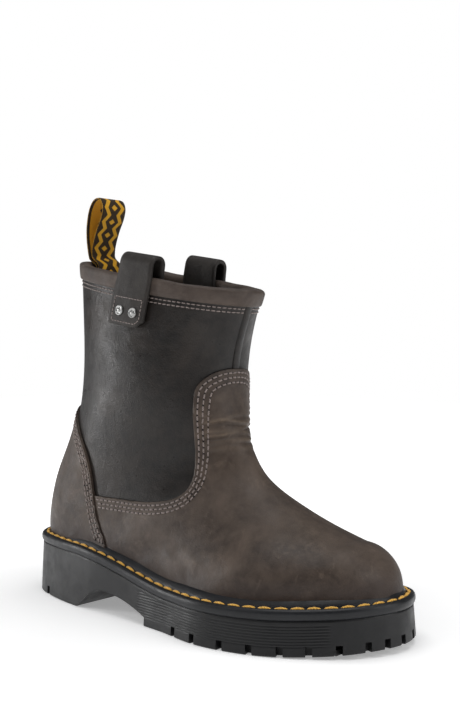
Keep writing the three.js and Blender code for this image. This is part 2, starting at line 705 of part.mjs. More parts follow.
// ---------------------------------------------------------------- heel pull loop
// The loop swings about the root of its two legs, just above the collar's inner edge.
const LOOP_DEPTH = INNER[1] + GAP + BAND_WALL + LOOP.inside; // the tail's outer face, below the upper's skin
const loopBase = () => {
  const inner = lastPointAt(0, Math.PI, LOOP_DEPTH + LOOP.tailThickness - LOOP.thickness / 2);
  return [inner.x, collarLine(inner.x) + LOOP.root + LOOP_CLEARANCE];
};
const LOOP_PIVOT = loopBase();
// The webbing's middle line over the root, as [forward, up]: up the back leg, over, and down the front leg.
const LOOP_LINE = spline([
  [-0.7, 0], [-2.6, 8], [-4, 18], [-3.6, 28], [-0.4, 38], [5, 43.5], [11, 43.6], [14, 38.5], [12.5, 31.5],
  [7.5, 23.5], [3.4, 14], [1.2, 6], [0.7, 0],
], 26);
function heelLoop() {
  const [x, z] = LOOP_PIVOT;
  const line = LOOP_LINE.map(([a, b]) => [x + a, z + b]);
  const webbing = sidePrism(ribbon(line, LOOP.thickness), -LOOP.width / 2, LOOP.width / 2);
  const root = new THREE.CylinderGeometry(LOOP.root, LOOP.root, LOOP.width, 12);
  root.translate(x, 0, z);
  return webbing.add(solidOf(root));
}
function heelLoopTail() {
  const half = LOOP.width / 2;
  const top = LOOP_PIVOT[1] - LOOP.root - GAP - 0.1;
  return lastSolid(LOOP_DEPTH).subtract(lastSolid(LOOP_DEPTH + LOOP.tailThickness))
    .intersect(box(-FAR, STATIONS[0].back[0] / 2, -half, half, top - LOOP.tail, top))
    .subtract(aboveCollar(0));
}

// ---------------------------------------------------------------- footbed
const footbedPart = (low, high) => strip(low, high).intersect(lastSolid(INNER[1] + FOOTBED_CLEARANCE));
const FOAM_LOW = BOARD + 2 * GAP;
const COVER_LOW = FOAM_LOW + FOAM + GAP;

// ---------------------------------------------------------------- assembly
const finishes = {
  vampLeather: { color: 0x4d433c, roughness: 0.62, metalness: 0 },
  quarterLeather: { color: 0x35312f, roughness: 0.58, metalness: 0 },
  strapLeather: { color: 0x3a3533, roughness: 0.6, metalness: 0 },
  lining: { color: 0x6e6258, roughness: 0.9, metalness: 0 },
  felt: { color: 0x8a8680, roughness: 0.95, metalness: 0 },
  rubber: { color: 0x232324, roughness: 0.55, metalness: 0 },
  thread: { color: 0xe0a63c, roughness: 0.6, metalness: 0 },
  webbing: { color: 0x1c1c20, roughness: 0.8, metalness: 0 },
  board: { color: 0x9a7b56, roughness: 0.9, metalness: 0 },
  foam: { color: 0x3d3d40, roughness: 0.95, metalness: 0 },
  steel: { color: 0x9a9da0, roughness: 0.35, metalness: 1 },
  silver: { color: 0xc4c4c2, roughness: 0.3, metalness: 1 },
};
const boot = new THREE.Group();
function piece(name, solid, finish) {
  const mesh = new THREE.Mesh(geometryOf(solid), new THREE.MeshStandardMaterial(finishes[finish]));
  mesh.name = name;
  boot.add(mesh);
}

piece("outsole", outsole(), "rubber");
piece("welt", welt(), "rubber");
piece("welt_thread", weltThread(), "thread");
piece("shank", strip(FILLER_LOW, FILLER_LOW + SHANK.thickness).intersect(shankSlot(0)), "steel");
piece("bottom_filler", fillerStrip().intersect(ahead(HEEL_PAD_FRONT + GAP)).subtract(shankSlot(GAP)), "board");
piece("heel_cushion", fillerStrip().intersect(behind(HEEL_PAD_FRONT)), "foam");
piece("insole_board", strip(GAP, GAP + BOARD).intersect(lastSolid(INNER[1] + BOARD_CLEARANCE)), "board");
piece("footbed_foam", footbedPart(FOAM_LOW, FOAM_LOW + FOAM), "foam");
piece("footbed_cover", footbedPart(COVER_LOW, COVER_LOW + COVER), "lining");

piece("vamp", vamp(), "vampLeather");
piece("heel_panel", heelPanel(), "vampLeather");
const backing = vampBacking();
const beadBack = CAP_BACK - BEAD_WIDTH;
piece("toe_cap", backing.intersect(ahead(CAP_BACK)), "steel");
piece("toe_cap_bead", backing.intersect(ahead(beadBack)).intersect(behind(CAP_BACK - GAP)), "felt");
piece("interlining", backing.intersect(behind(beadBack - GAP)), "felt");
piece("heel_counter", middleLayer().intersect(heelRegion(OVERLAP + GAP)), "board");
piece("vamp_lining", lining().intersect(liningSplit(0)), "lining");

const holes = [-1, 1].flatMap((side) => rivetPlaces(side).map((place) => rivetHole(place, side)));
const drilled = (solid) => holes.reduce((s, hole) => s.subtract(hole), solid);
const bothQuarters = drilled(quarters());
piece("quarter_lateral", bothQuarters.intersect(outerSide(-GAP / 2)), "quarterLeather");
piece("quarter_medial", bothQuarters.intersect(innerSide(GAP / 2)), "quarterLeather");
piece("shaft_lining", drilled(lining().subtract(liningSplit(GAP))), "lining");
piece("collar_band", collarBand(), "vampLeather");
piece("front_seam_tape", seamTape(true), "vampLeather");
piece("back_seam_tape", seamTape(false), "vampLeather");

for (const [sideName, side] of [["lateral", -1], ["medial", 1]]) {
  piece("pull_strap_" + sideName, strap(side), "strapLeather");
  rivetPlaces(side).forEach((place, i) => {
    const end = ["rear", "front"][i];
    piece("rivet_" + sideName + "_" + end, rivet(side, place), "silver");
    piece("rivet_burr_" + sideName + "_" + end, rivetBurr(side, place), "silver");
  });
}
piece("heel_loop", heelLoop(), "webbing");
piece("heel_loop_tail", heelLoopTail(), "webbing");

// The origin is the middle of the boot's box, on the floor.
const extent = new THREE.Box3().setFromObject(boot);
boot.position.set(-(extent.min.x + extent.max.x) / 2, -(extent.min.y + extent.max.y) / 2, -extent.min.z);
const part = new THREE.Group();
part.add(boot);
export default part;
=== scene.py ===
"""The looks of a steel toe work boot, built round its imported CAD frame.

Shapes are worked out in millimetres in the last's own coordinates, the same as the CAD part's, and are
moved into the frame and scaled to metres when a mesh is made.
"""
import json
import math

import bpy
import numpy as np
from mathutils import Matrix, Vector


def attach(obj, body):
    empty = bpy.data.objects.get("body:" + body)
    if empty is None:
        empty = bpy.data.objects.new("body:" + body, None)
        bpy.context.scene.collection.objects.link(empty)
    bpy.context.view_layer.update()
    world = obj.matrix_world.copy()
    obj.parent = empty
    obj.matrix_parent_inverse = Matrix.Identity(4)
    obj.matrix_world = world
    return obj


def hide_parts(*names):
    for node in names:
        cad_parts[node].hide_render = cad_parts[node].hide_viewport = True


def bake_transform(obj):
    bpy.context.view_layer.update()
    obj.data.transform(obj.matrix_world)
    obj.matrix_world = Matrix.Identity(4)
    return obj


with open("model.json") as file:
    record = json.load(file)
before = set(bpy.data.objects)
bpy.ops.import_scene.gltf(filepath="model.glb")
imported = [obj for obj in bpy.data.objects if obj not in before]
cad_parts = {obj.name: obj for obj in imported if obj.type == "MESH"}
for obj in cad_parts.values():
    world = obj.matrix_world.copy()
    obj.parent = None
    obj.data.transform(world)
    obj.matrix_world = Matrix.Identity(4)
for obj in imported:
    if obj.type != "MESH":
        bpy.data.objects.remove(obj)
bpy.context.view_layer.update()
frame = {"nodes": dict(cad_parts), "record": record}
MM = 0.001
TURN = 2 * math.pi

# ---------------------------------------------------------------- driving dimensions
JOINTS = {joint["name"]: joint for joint in frame["record"]["behaviour"]["joints"]}
PIVOT = np.array([-117.495, 0, 254.972])  # the heel loop's hinge, in the last's coordinates
SHIFT = np.array(JOINTS["heel_loop_tilt"]["pos_m"]) / MM - PIVOT

# Sections of the last: front or top point, back or bottom point, outer and inner half width, where it is
# widest, and how square its front and back halves are.
STATIONS = np.array([
    [37.5, 228, -126.5, 254, 42, 41.5, 0.5, 2.2, 2.2],
    [24.5, 192.5, -122, 215.5, 45, 45, 0.5, 2.2, 2.2],
    [20.5, 165.5, -121.5, 170, 45.5, 45.5, 0.5, 2.2, 2.2],
    [22.5, 144, -128.5, 136, 44, 44, 0.52, 2.2, 2.2],
    [27, 129, -143.5, 104, 41.5, 40.5, 0.55, 2.1, 2.3],
    [32.5, 118, -154, 73.5, 41, 39.5, 0.6, 2, 2.5],
    [40.5, 106, -153, 34, 42.5, 40, 0.62, 2, 2.6],
    [52.5, 95.5, -100, 24, 47, 41, 0.64, 2, 3],
    [71, 85, -25, 20, 51, 44, 0.64, 2, 3.3],
    [91.5, 74.5, 38, 16, 56, 49, 0.62, 2.1, 3.6],
    [115, 65.5, 85, 16, 54, 51, 0.6, 2.2, 3.8],
])
LAST_STATION = len(STATIONS) - 1
TOE_TIP = (145, 18)
TOE_TURN = 9
TOE_TURN_START = 20
TOE_FALL = -0.06
TOE_ROUND = 2.95
TOE_LEAD = 3
TOE_LEAD_START = 110
FIT_START = 6.2
FIT_LENGTH = 1.3
LEAST_FULLNESS = 0.6
FEATHER = [
    (-156, 0), (-146.5, -23.5), (-121.5, -35), (-80, -43.5), (-35, -45.5), (5, -50), (45, -57.5),
    (81, -51.5), (109, -37.5), (130, -20), (142.3, 8), (133.5, 32.5), (111, 43.5), (82, 45.5),
    (45, 44.5), (5, 41.2), (-35, 39.8), (-80, 39), (-122, 35), (-147.5, 22.5),
]
HEEL_TOP, FOREFOOT_TOP, TOE_TOP = 45, 28.6, 34
DROP_START, DROP_LENGTH = -95, 110
RISE_START, RISE_LENGTH = 60, 95
TOE_SPRING, SPRING_START, SPRING_LENGTH = 6.5, 75, 80
VAMP_EDGE = [
    (-100, 82), (-80, 81.5), (-58, 81.5), (-32, 81.7), (-12, 84.5), (-1, 89.5), (4, 98), (5, 110),
    (5.2, 130), (5.5, 150), (7, 162), (12, 169.5), (20, 175.5), (32, 179), (60, 184),
]
HEEL_EDGE = [
    (-50, 20), (-56, 30), (-65, 50.5), (-71, 57.5), (-77, 67.5), (-81, 81), (-83.5, 92), (-87.5, 105),
    (-95, 118), (-108, 134), (-122, 145), (-140, 150), (-170, 154),
]
ARCH = [(-90, 0), (-81, 6), (-71, 13.5), (-60, 16.5), (-42, 14.6), (-26, 10.6), (-13.5, 6)]

# Depths of the visible skins below the last's outer face, and how thick the leather is.
VAMP_DEPTH, HEEL_DEPTH, QUARTER_DEPTH, LINING_DEPTH = 0.0, -0.8, 1.3, 5.0
LEATHER = 1.9
BAND_HEIGHT = 11
SEAM_ROWS = (3.2, 6.0, 8.8)
SEAM_PITCH = 4.2


# ---------------------------------------------------------------- curves
def smooth(u):
    v = np.clip(u, 0, 1)
    return v * v * (3 - 2 * v)


def natural_spline(values):
    """A natural cubic spline through evenly spaced values, straight before its start."""
    n = len(values)
    system = np.eye(n)
    right = np.zeros(n)
    for i in range(1, n - 1):
        system[i, i - 1:i + 2] = (1, 4, 1)
        right[i] = 3 * (values[i + 1] - 2 * values[i] + values[i - 1])
    c = np.linalg.solve(system, right)

    def at(t):
        i = np.clip(np.floor(t).astype(int), 0, n - 2)
        u = t - i
        b = values[i + 1] - values[i] - (2 * c[i] + c[i + 1]) / 3
        inside = values[i] + u * (b + u * (c[i] + u * (c[i + 1] - c[i]) / 3))
        return np.where(t < 0, values[0] + t * (values[1] - values[0] - c[1] / 3), inside)
    return at


def hermite(p1, p2, m1, m2, u):
    return p1 + u * (m1 + u * (3 * (p2 - p1) - 2 * m1 - m2 + u * (2 * (p1 - p2) + m1 + m2)))


def closed_curve(points, count):
    """Centripetal Catmull-Rom curve round a closed list of points."""
    p = np.array(points, float)
    n = len(p)
    out = []
    for k in range(count):
        s = k * n / count
        i = int(s)
        p0, p1, p2, p3 = (p[(i + j - 1) % n] for j in range(4))
        d0, d1, d2 = (np.linalg.norm(b - a) ** 0.5 for a, b in ((p0, p1), (p1, p2), (p2, p3)))
        m1 = ((p1 - p0) / d0 - (p2 - p0) / (d0 + d1) + (p2 - p1) / d1) * d1
        m2 = ((p2 - p1) / d1 - (p3 - p1) / (d1 + d2) + (p3 - p2) / d2) * d1
        out.append(hermite(p1, p2, m1, m2, s - i))
    return np.array(out)


def open_curve(points, count):
    """Catmull-Rom curve through an open list of points."""
    p = np.array(points, float)
    n = len(p)
    out = []
    for k in range(count + 1):
        s = k * (n - 1) / count
        i = min(int(s), n - 2)
        p0, p3 = p[max(i - 1, 0)], p[min(i + 2, n - 1)]
        out.append(hermite(p[i], p[i + 1], (p[i + 1] - p0) / 2, (p3 - p[i]) / 2, s - i))
    return np.array(out)


def resampled(line, pitch, closed=False):
    """Points along a polyline a pitch apart, with their directions."""
    p = np.vstack([line, line[:1]]) if closed else np.asarray(line)
    steps = np.linalg.norm(np.diff(p[:, :3], axis=0), axis=1)
    s = np.concatenate([[0], np.cumsum(steps)])
    count = max(int(round(s[-1] / pitch)), 1)
    at = (np.arange(count) + 0.5) * s[-1] / count
    columns = [np.interp(at, s, p[:, i]) for i in range(p.shape[1])]
    ahead = np.stack([np.interp(at + 0.4, s, p[:, i]) for i in range(3)], 1)
    behind = np.stack([np.interp(at - 0.4, s, p[:, i]) for i in range(3)], 1)
    d = ahead - behind
    return np.stack(columns, 1), d / np.linalg.norm(d, axis=1, keepdims=True)


# ---------------------------------------------------------------- the last
FEATHER_FINE = closed_curve(FEATHER, 800)
HEEL_TIP = FEATHER_FINE[:, 0].argmin()
TOE_TIP_AT = FEATHER_FINE[:, 0].argmax()


def arc(start, end):
    n = len(FEATHER_FINE)
    return FEATHER_FINE[[(start + k) % n for k in range((end - start) % n + 1)]]


OUTER_ARC = arc(HEEL_TIP, TOE_TIP_AT)
INNER_ARC = arc(TOE_TIP_AT, HEEL_TIP)[::-1]


def feather_y(x, side):
    line = OUTER_ARC if side < 0 else INNER_ARC
    return np.interp(x, line[:, 0], line[:, 1])


def welt_top(x):
    down = (FOREFOOT_TOP - HEEL_TOP) * smooth((x - DROP_START) / DROP_LENGTH)
    up = (TOE_TOP - FOREFOOT_TOP) * np.clip((x - RISE_START) / RISE_LENGTH, 0, 1) ** 2
    return HEEL_TOP + down + up


def tread_bottom(x):
    return TOE_SPRING * np.clip((x - SPRING_START) / SPRING_LENGTH, 0, 1) ** 2


def toe_centre(x):
    return TOE_TURN * np.clip((x - TOE_TURN_START) / (TOE_TIP[0] - TOE_TURN_START), 0, 1) ** 2


STATION_CURVES = [natural_spline(STATIONS[:, k]) for k in range(STATIONS.shape[1])]


def section(t):
    s = [curve(np.minimum(t, LAST_STATION)) for curve in STATION_CURVES]
    angle = np.clip(t - LAST_STATION, 0, 1) * math.pi / 2
    beyond = t > LAST_STATION
    across = np.sin(angle)
    height = np.maximum(np.cos(angle), 0) ** (2 / TOE_ROUND)
    x = s[0] + (TOE_TIP[0] - s[0]) * across
    z = (s[1] + TOE_FALL * (x - s[0]) - TOE_TIP[1]) * height + TOE_TIP[1]
    s[0], s[1] = np.where(beyond, x, s[0]), np.where(beyond, z, s[1])
    s[2] = np.where(beyond, s[2] + (TOE_TIP[0] - s[2]) * across, s[2])
    s[3] = np.where(beyond, s[3] + (TOE_TIP[1] - s[3]) * across ** 2, s[3])
    return fit_to_feather(s, t)


def fit_to_feather(s, t):
    """Towards the toe the widths are those that carry a section through the feather line at the welt."""
    front_x, front_z, back_x, back_z, outer, inner, widest, square_f, square_b = s
    share = smooth((t - FIT_START) / FIT_LENGTH)
    low, high = np.zeros_like(front_x), np.ones_like(front_x)
    for _ in range(24):
        p = (low + high) / 2
        above = front_z + (back_z - front_z) * p > welt_top(front_x + (back_x - front_x) * p)
        low, high = np.where(above, p, low), np.where(above, high, p)
    x = front_x + (back_x - front_x) * low
    rear = low > widest
    reach = np.clip(np.where(rear, (low - widest) / (1 - widest), (widest - low) / widest), 0, 1)
    power = np.where(rear, square_b, square_f)
    fullness = np.maximum((1 - reach ** power) ** (1 / power), LEAST_FULLNESS)
    lead = TOE_LEAD * np.clip((x - TOE_LEAD_START) / (TOE_TIP[0] - TOE_LEAD_START), 0, 1) ** 2
    centre = toe_centre(x)
    outer = outer + ((centre - feather_y(x - lead, -1)) / fullness - outer) * share
    inner = inner + ((feather_y(x - lead, 1) - centre) / fullness - inner) * share
    return front_x, front_z, back_x, back_z, outer, inner, widest, square_f, square_b


def last_point(t, angle):
    front_x, front_z, back_x, back_z, outer, inner, widest, square_f, square_b = section(t)
    c, q = np.cos(angle), np.sin(angle)
    power = np.where(c >= 0, square_f, square_b)
    r = 1 / (np.abs(c) ** power + np.abs(q) ** power) ** (1 / power)
    reach = np.abs(c) * r
    p = np.where(c >= 0, widest * (1 - reach), widest + (1 - widest) * reach)
    x = front_x + (back_x - front_x) * p
    z = front_z + (back_z - front_z) * p
    half = np.where(q >= 0, outer, inner)
    return np.stack([x, toe_centre(x) - np.sign(q) * half * np.abs(q) * r, z], -1)


def last_normal(t, angle):
    d = 0.02
    along = last_point(t + d, angle) - last_point(t - d, angle)
    round_it = last_point(t, angle + d) - last_point(t, angle - d)
    inward = np.cross(along, round_it)
    return -inward / np.maximum(np.linalg.norm(inward, axis=-1, keepdims=True), 1e-9)


def collar_line(x):
    return 228 + (254 - 228) * (x - 37.5) / (-126.5 - 37.5)


# ---------------------------------------------------------------- the skin as a fine grid
ROUND = 280
ROWS_UP = np.concatenate([
    np.linspace(0, 3, 100)[:-1],
    np.linspace(3, 5, 80)[:-1],
    np.linspace(5, 10, 110)[:-1],
    LAST_STATION + np.linspace(0, 1, 56)[:-1] ** 0.9,
])
ANGLES = np.arange(ROUND) * TURN / ROUND
GRID_T, GRID_A = np.meshgrid(ROWS_UP, ANGLES, indexing="ij")
SKIN = last_point(GRID_T, GRID_A).reshape(-1, 3)
OUTWARD = last_normal(GRID_T, GRID_A).reshape(-1, 3)


def grid_triangles():
    i, j = np.meshgrid(np.arange(len(ROWS_UP) - 1), np.arange(ROUND), indexing="ij")
    a = (i * ROUND + j).ravel()
    b = (i * ROUND + (j + 1) % ROUND).ravel()
    return np.vstack([np.stack([a, a + ROUND, b], 1), np.stack([b, a + ROUND, b + ROUND], 1)])


TRIANGLES = grid_triangles()


def side_distance(xz, line):
    """Signed distance in side view from a polyline, positive on its right."""
    a, b = line[:-1], line[1:]
    d = b - a
    length2 = (d ** 2).sum(1)
    best = np.full(len(xz), 1e9)
    sign = np.ones(len(xz))
    for k in range(len(a)):
        r = xz - a[k]
        u = np.clip(r @ d[k] / length2[k], 0, 1)
        gap = np.linalg.norm(r - u[:, None] * d[k], axis=1)
        nearer = gap < best
        cross = d[k][0] * r[:, 1] - d[k][1] * r[:, 0]
        sign = np.where(nearer, np.where(cross < 0, 1, -1), sign)
        best = np.minimum(best, gap)
    return best * sign


VAMP_LINE = open_curve(VAMP_EDGE, 70)
HEEL_LINE = open_curve(HEEL_EDGE, 60)
IN_VAMP = side_distance(SKIN[:, [0, 2]], VAMP_LINE)
IN_HEEL = -side_distance(SKIN[:, [0, 2]], HEEL_LINE)
OVER_WELT = SKIN[:, 2] - welt_top(SKIN[:, 0])
UNDER_RIM = (collar_line(SKIN[:, 0]) - SKIN[:, 2]) * math.cos(math.atan(26 / 164))


# ---------------------------------------------------------------- cutting meshes along fields
def cut(mesh, field):
    """Keeps what lies where the field is positive. Vertex columns past the position go along."""
    points, triangles = mesh
    f = field
    keep = (f > 0)[triangles]
    whole = triangles[keep.all(1)]
    part = triangles[keep.any(1) & ~keep.all(1)]
    points = list(points)
    made = {}

    def crossing(a, b):
        key = (min(a, b), max(a, b))
        if key not in made:
            u = f[a] / (f[a] - f[b])
            points.append(points[a] + (points[b] - points[a]) * min(max(u, 0.02), 0.98))
            made[key] = len(points) - 1
        return made[key]

    extra = []
    for tri in part:
        polygon = []
        for k in range(3):
            a, b = int(tri[k]), int(tri[(k + 1) % 3])
            if f[a] > 0:
                polygon.append(a)
            if (f[a] > 0) != (f[b] > 0):
                polygon.append(crossing(a, b))
        extra += [(polygon[0], polygon[k], polygon[k + 1]) for k in range(1, len(polygon) - 1)]
    triangles = np.vstack([whole, np.array(extra, int).reshape(-1, 3)])
    used, flat = np.unique(triangles, return_inverse=True)
    return np.array(points)[used], flat.reshape(-1, 3), set(np.searchsorted(used, list(made.values())))


def edge_loops(triangles):
    """The open edges of a mesh, chained into loops of vertex numbers."""
    edges = np.vstack([triangles[:, [0, 1]], triangles[:, [1, 2]], triangles[:, [2, 0]]])
    present = set(map(tuple, edges))
    after = {a: b for a, b in present if (b, a) not in present}
    loops = []
    while after:
        start, here = next(iter(after.items()))
        loop = [start]
        del after[start]
        while here in after and here != start:
            loop.append(here)
            here = after.pop(here)
        loops.append((loop, here == start))
    return loops


def contour(field, level, also=None, raised=0.0):
    """Lines on the skin, raised off it, along a level of a field, as rows of point and normal."""
    values = field - level
    places = SKIN + OUTWARD * np.reshape(raised, (-1, 1))
    wanted = np.ones(len(SKIN)) if also is None else also
    mesh = (np.hstack([places, OUTWARD, wanted[:, None]]), TRIANGLES)
    points, triangles, on_cut = cut(mesh, values)
    lines = []
    for loop, _ in edge_loops(triangles):
        run = []
        for v in loop + loop[:1]:
            if v in on_cut and points[v, 6] > 0:
                run.append(points[v, :6])
            else:
                if len(run) > 3:
                    lines.append(np.array(run))
                run = []
        if len(run) > 3:
            lines.append(np.array(run))
    return lines


# ---------------------------------------------------------------- making objects
def link(name, data):
    obj = bpy.data.objects.new(name, data)
    bpy.context.collection.objects.link(obj)
    return obj


def make(name, points, faces, material, body="root", replaces=(), slot=None, shade=True):
    mesh = bpy.data.meshes.new(name)
    placed = (np.asarray(points) + SHIFT) * MM
    mesh.from_pydata([tuple(p) for p in placed], [], [tuple(map(int, f)) for f in faces])
    mesh.validate()
    mesh.update()
    if shade:
        mesh.shade_smooth()
    obj = link(name, mesh)
    obj.data.materials.append(material)
    if body:
        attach(obj, body)
    if replaces:
        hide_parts(*replaces)
    return obj


def turn_out(points, faces):
    """Faces with their front outwards, judged by the solid's volume."""
    volume = 0
    p = np.asarray(points)
    for face in faces:
        for k in range(1, len(face) - 1):
            a, b, c = p[face[0]], p[face[k]], p[face[k + 1]]
            volume += a @ np.cross(b, c)
    return [list(face)[::-1] for face in faces] if volume < 0 else faces


LIP = [(0.42, 0.1), (0.72, 0.36), (0.8, 0.8), (0.72, 1.3)]  # a cut edge's rounding, as (outwards, down)


def panel(name, fields, depth, thickness, material, relief=None, **kinds):
    """A piece of leather on the last: its skin cut by fields, with rounded edges and a back face."""
    points = np.hstack([SKIN, OUTWARD])
    triangles = TRIANGLES
    if relief is not None:
        depth = depth - relief
    points = np.hstack([points[:, :3] - OUTWARD * np.reshape(depth, (-1, 1)), OUTWARD, np.stack(fields, 1)])
    for k in range(len(fields)):
        points, triangles, _ = cut((points, triangles), points[:, 6 + k])
    skin, normal = points[:, :3], points[:, 3:6]
    normal = normal / np.linalg.norm(normal, axis=1, keepdims=True)
    n = len(skin)
    verts = [skin, skin - normal * thickness]
    faces = [tuple(f) for f in triangles] + [(f[2] + n, f[1] + n, f[0] + n) for f in triangles]
    count = 2 * n
    for loop, closed in edge_loops(triangles):
        ring = skin[loop]
        ahead, behind = np.roll(ring, -1, 0), np.roll(ring, 1, 0)
        if not closed:
            ahead[-1], behind[0] = ring[-1], ring[0]
        along = ahead - behind
        out = np.cross(along, normal[loop])
        out /= np.maximum(np.linalg.norm(out, axis=1, keepdims=True), 1e-9)
        rows = [list(loop)]
        for outwards, down in LIP:
            verts.append(ring + out * outwards - normal[loop] * (down * thickness / LEATHER))
            rows.append(list(range(count, count + len(loop))))
            count += len(loop)
        rows.append([v + n for v in loop])
        last = len(loop) if closed else len(loop) - 1
        for upper, lower in zip(rows, rows[1:]):
            for k in range(last):
                m = (k + 1) % len(loop)
                faces.append((upper[m], upper[k], lower[k], lower[m]))
    return make(name, np.vstack(verts), faces, material, **kinds)


def tube(base, rings, sides, closed=False):
    """Quads between neighbouring rings of a tube whose first vertex is number base."""
    faces = []
    for r in range(rings if closed else rings - 1):
        a, b = base + r * sides, base + (r + 1) % rings * sides
        faces += [(a + k, a + (k + 1) % sides, b + (k + 1) % sides, b + k) for k in range(sides)]
    return faces


def stitch_frames(places):
    """Each stitch's middle, direction, normal and sideways direction."""
    for points, directions in places:
        for p, d in zip(points, directions):
            normal = p[3:6] / np.linalg.norm(p[3:6])
            across = np.cross(normal, d)
            yield p[:3], d, normal, across / np.linalg.norm(across)


def sweep(rings, closed=False, capped=True):
    """Faces over rings of points; each ring is closed."""
    n, count = len(rings[0]), len(rings)
    faces = tube(0, count, n, closed)
    if capped and not closed:
        faces += [tuple(range(n))[::-1], tuple(range((count - 1) * n, count * n))]
    points = np.vstack(rings)
    return points, turn_out(points, faces)


def stitches(name, places, material, length, radius, body="root", lift=0.25, sink=0.75, **kinds):
    """Short lengths of thread, each a bent capsule. Places are rows of (points and normals, directions)."""
    profile = [(-1, 0.3), (-0.94, 0.62), (-0.75, 0.9), (0, 1), (0.75, 0.9), (0.94, 0.62), (1, 0.3)]
    sides, rings = 7, len(profile)
    rng = np.random.default_rng(11)
    verts, faces = [], []
    for middle, d, normal, across in stitch_frames(places):
        base = len(verts)
        d = d + across * rng.normal(0, 0.05)
        size = radius * (1 + rng.normal(0, 0.05))
        for along, width in profile:
            dip = (along ** 2) * sink * radius * 1.4
            centre = middle + d * along * length / 2 + normal * (lift - dip)
            for k in range(sides):
                a = TURN * k / sides
                verts.append(centre + size * width * (across * math.cos(a) + normal * 0.8 * math.sin(a)))
        faces += tube(base, rings, sides)
        faces.append(tuple(base + k for k in range(sides))[::-1])
        faces.append(tuple(base + (rings - 1) * sides + k for k in range(sides)))
    return make(name, verts, faces, material, body=body, **kinds)


def hole_shades(name, places, material, radius, body="root", pitch=1.0, lift=0.05, **kinds):
    """Painted shade for the needle holes halfway between stitches: each a small dark shallow dome that stands
    in for the shadow down the hole.
    """
    profile = ((1.0, -0.3), (0.8, 0.0), (0.35, 0.06))
    sides = 7
    verts, faces = [], []
    for middle, d, normal, across in stitch_frames(places):
        base = len(verts)
        centre = middle + d * pitch * 0.5 + normal * lift
        for r, h in profile:
            for k in range(sides):
                a = TURN * k / sides
                verts.append(centre + radius * r * (across * math.cos(a) + d * math.sin(a)) + normal * h)
        faces += tube(base, len(profile), sides)
        faces.append(tuple(base + 2 * sides + k for k in range(sides)))
        faces.append(tuple(base + k for k in range(sides))[::-1])
    return make(name, verts, faces, material, body=body, **kinds)


# ---------------------------------------------------------------- materials
def material(name, color, roughness, **sockets):
    m = bpy.data.materials.new(name)
    m.use_nodes = True
    shader = m.node_tree.nodes["Principled BSDF"]
    shader.inputs["Base Color"].default_value = (*color, 1)
    shader.inputs["Roughness"].default_value = roughness
    for socket, value in sockets.items():
        shader.inputs[socket].default_value = value
    return m, shader


class Nodes:
    """Short ways to add and link shader nodes."""

    def __init__(self, m, shader):
        self.tree = m.node_tree
        self.shader = shader
        self.place = self.add("ShaderNodeTexCoord").outputs["Object"]

    def add(self, kind, **inputs):
        node = self.tree.nodes.new(kind)
        for key, value in inputs.items():
            self.feed(node.inputs[int(key) if key.isdigit() else key], value)
        return node

    def feed(self, socket, value):
        """Links a socket to another one, or sets its value."""
        if isinstance(value, bpy.types.NodeSocket):
            self.tree.links.new(value, socket)
        else:
            socket.default_value = value

    def noise(self, scale, detail=3.0, roughness=0.55, distortion=0.0, place=None):
        node = self.add("ShaderNodeTexNoise", Vector=place or self.place, Scale=scale, Detail=detail,
                        Roughness=roughness, Distortion=distortion)
        return node.outputs["Fac"]

    def cells(self, scale):
        return self.add("ShaderNodeTexVoronoi", Vector=self.place, Scale=scale).outputs["Distance"]

    def ramp(self, value, *stops):
        node = self.add("ShaderNodeValToRGB", Fac=value)
        elements = node.color_ramp.elements
        while len(elements) < len(stops):
            elements.new(0.5)
        for element, (at, color) in zip(elements, stops):
            element.position = at
            element.color = (*color, 1) if isinstance(color, tuple) else (color, color, color, 1)
        return node.outputs["Color"]

    def blend(self, share, a, b, how="MIX"):
        node = self.tree.nodes.new("ShaderNodeMix")
        node.data_type = "RGBA"
        node.blend_type = how
        for socket, value in ((0, share), (6, a), (7, b)):
            self.feed(node.inputs[socket], (*value, 1) if isinstance(value, tuple) else value)
        return node.outputs[2]

    def math(self, how, a, b=0.0, c=0.0):
        node = self.tree.nodes.new("ShaderNodeMath")
        node.operation = how
        for socket, value in zip(node.inputs, (a, b, c)):
            self.feed(socket, value)
        return node.outputs[0]

    def bump(self, height, distance, strength=1.0, under=None):
        node = self.add("ShaderNodeBump", Height=height, Distance=distance, Strength=strength)
        if under is not None:
            self.tree.links.new(under, node.inputs["Normal"])
        return node.outputs["Normal"]

    def attribute(self, name):
        node = self.tree.nodes.new("ShaderNodeAttribute")
        node.attribute_name = name
        return node.outputs["Fac"]

    def to(self, socket, value):
        self.tree.links.new(value, self.shader.inputs[socket])


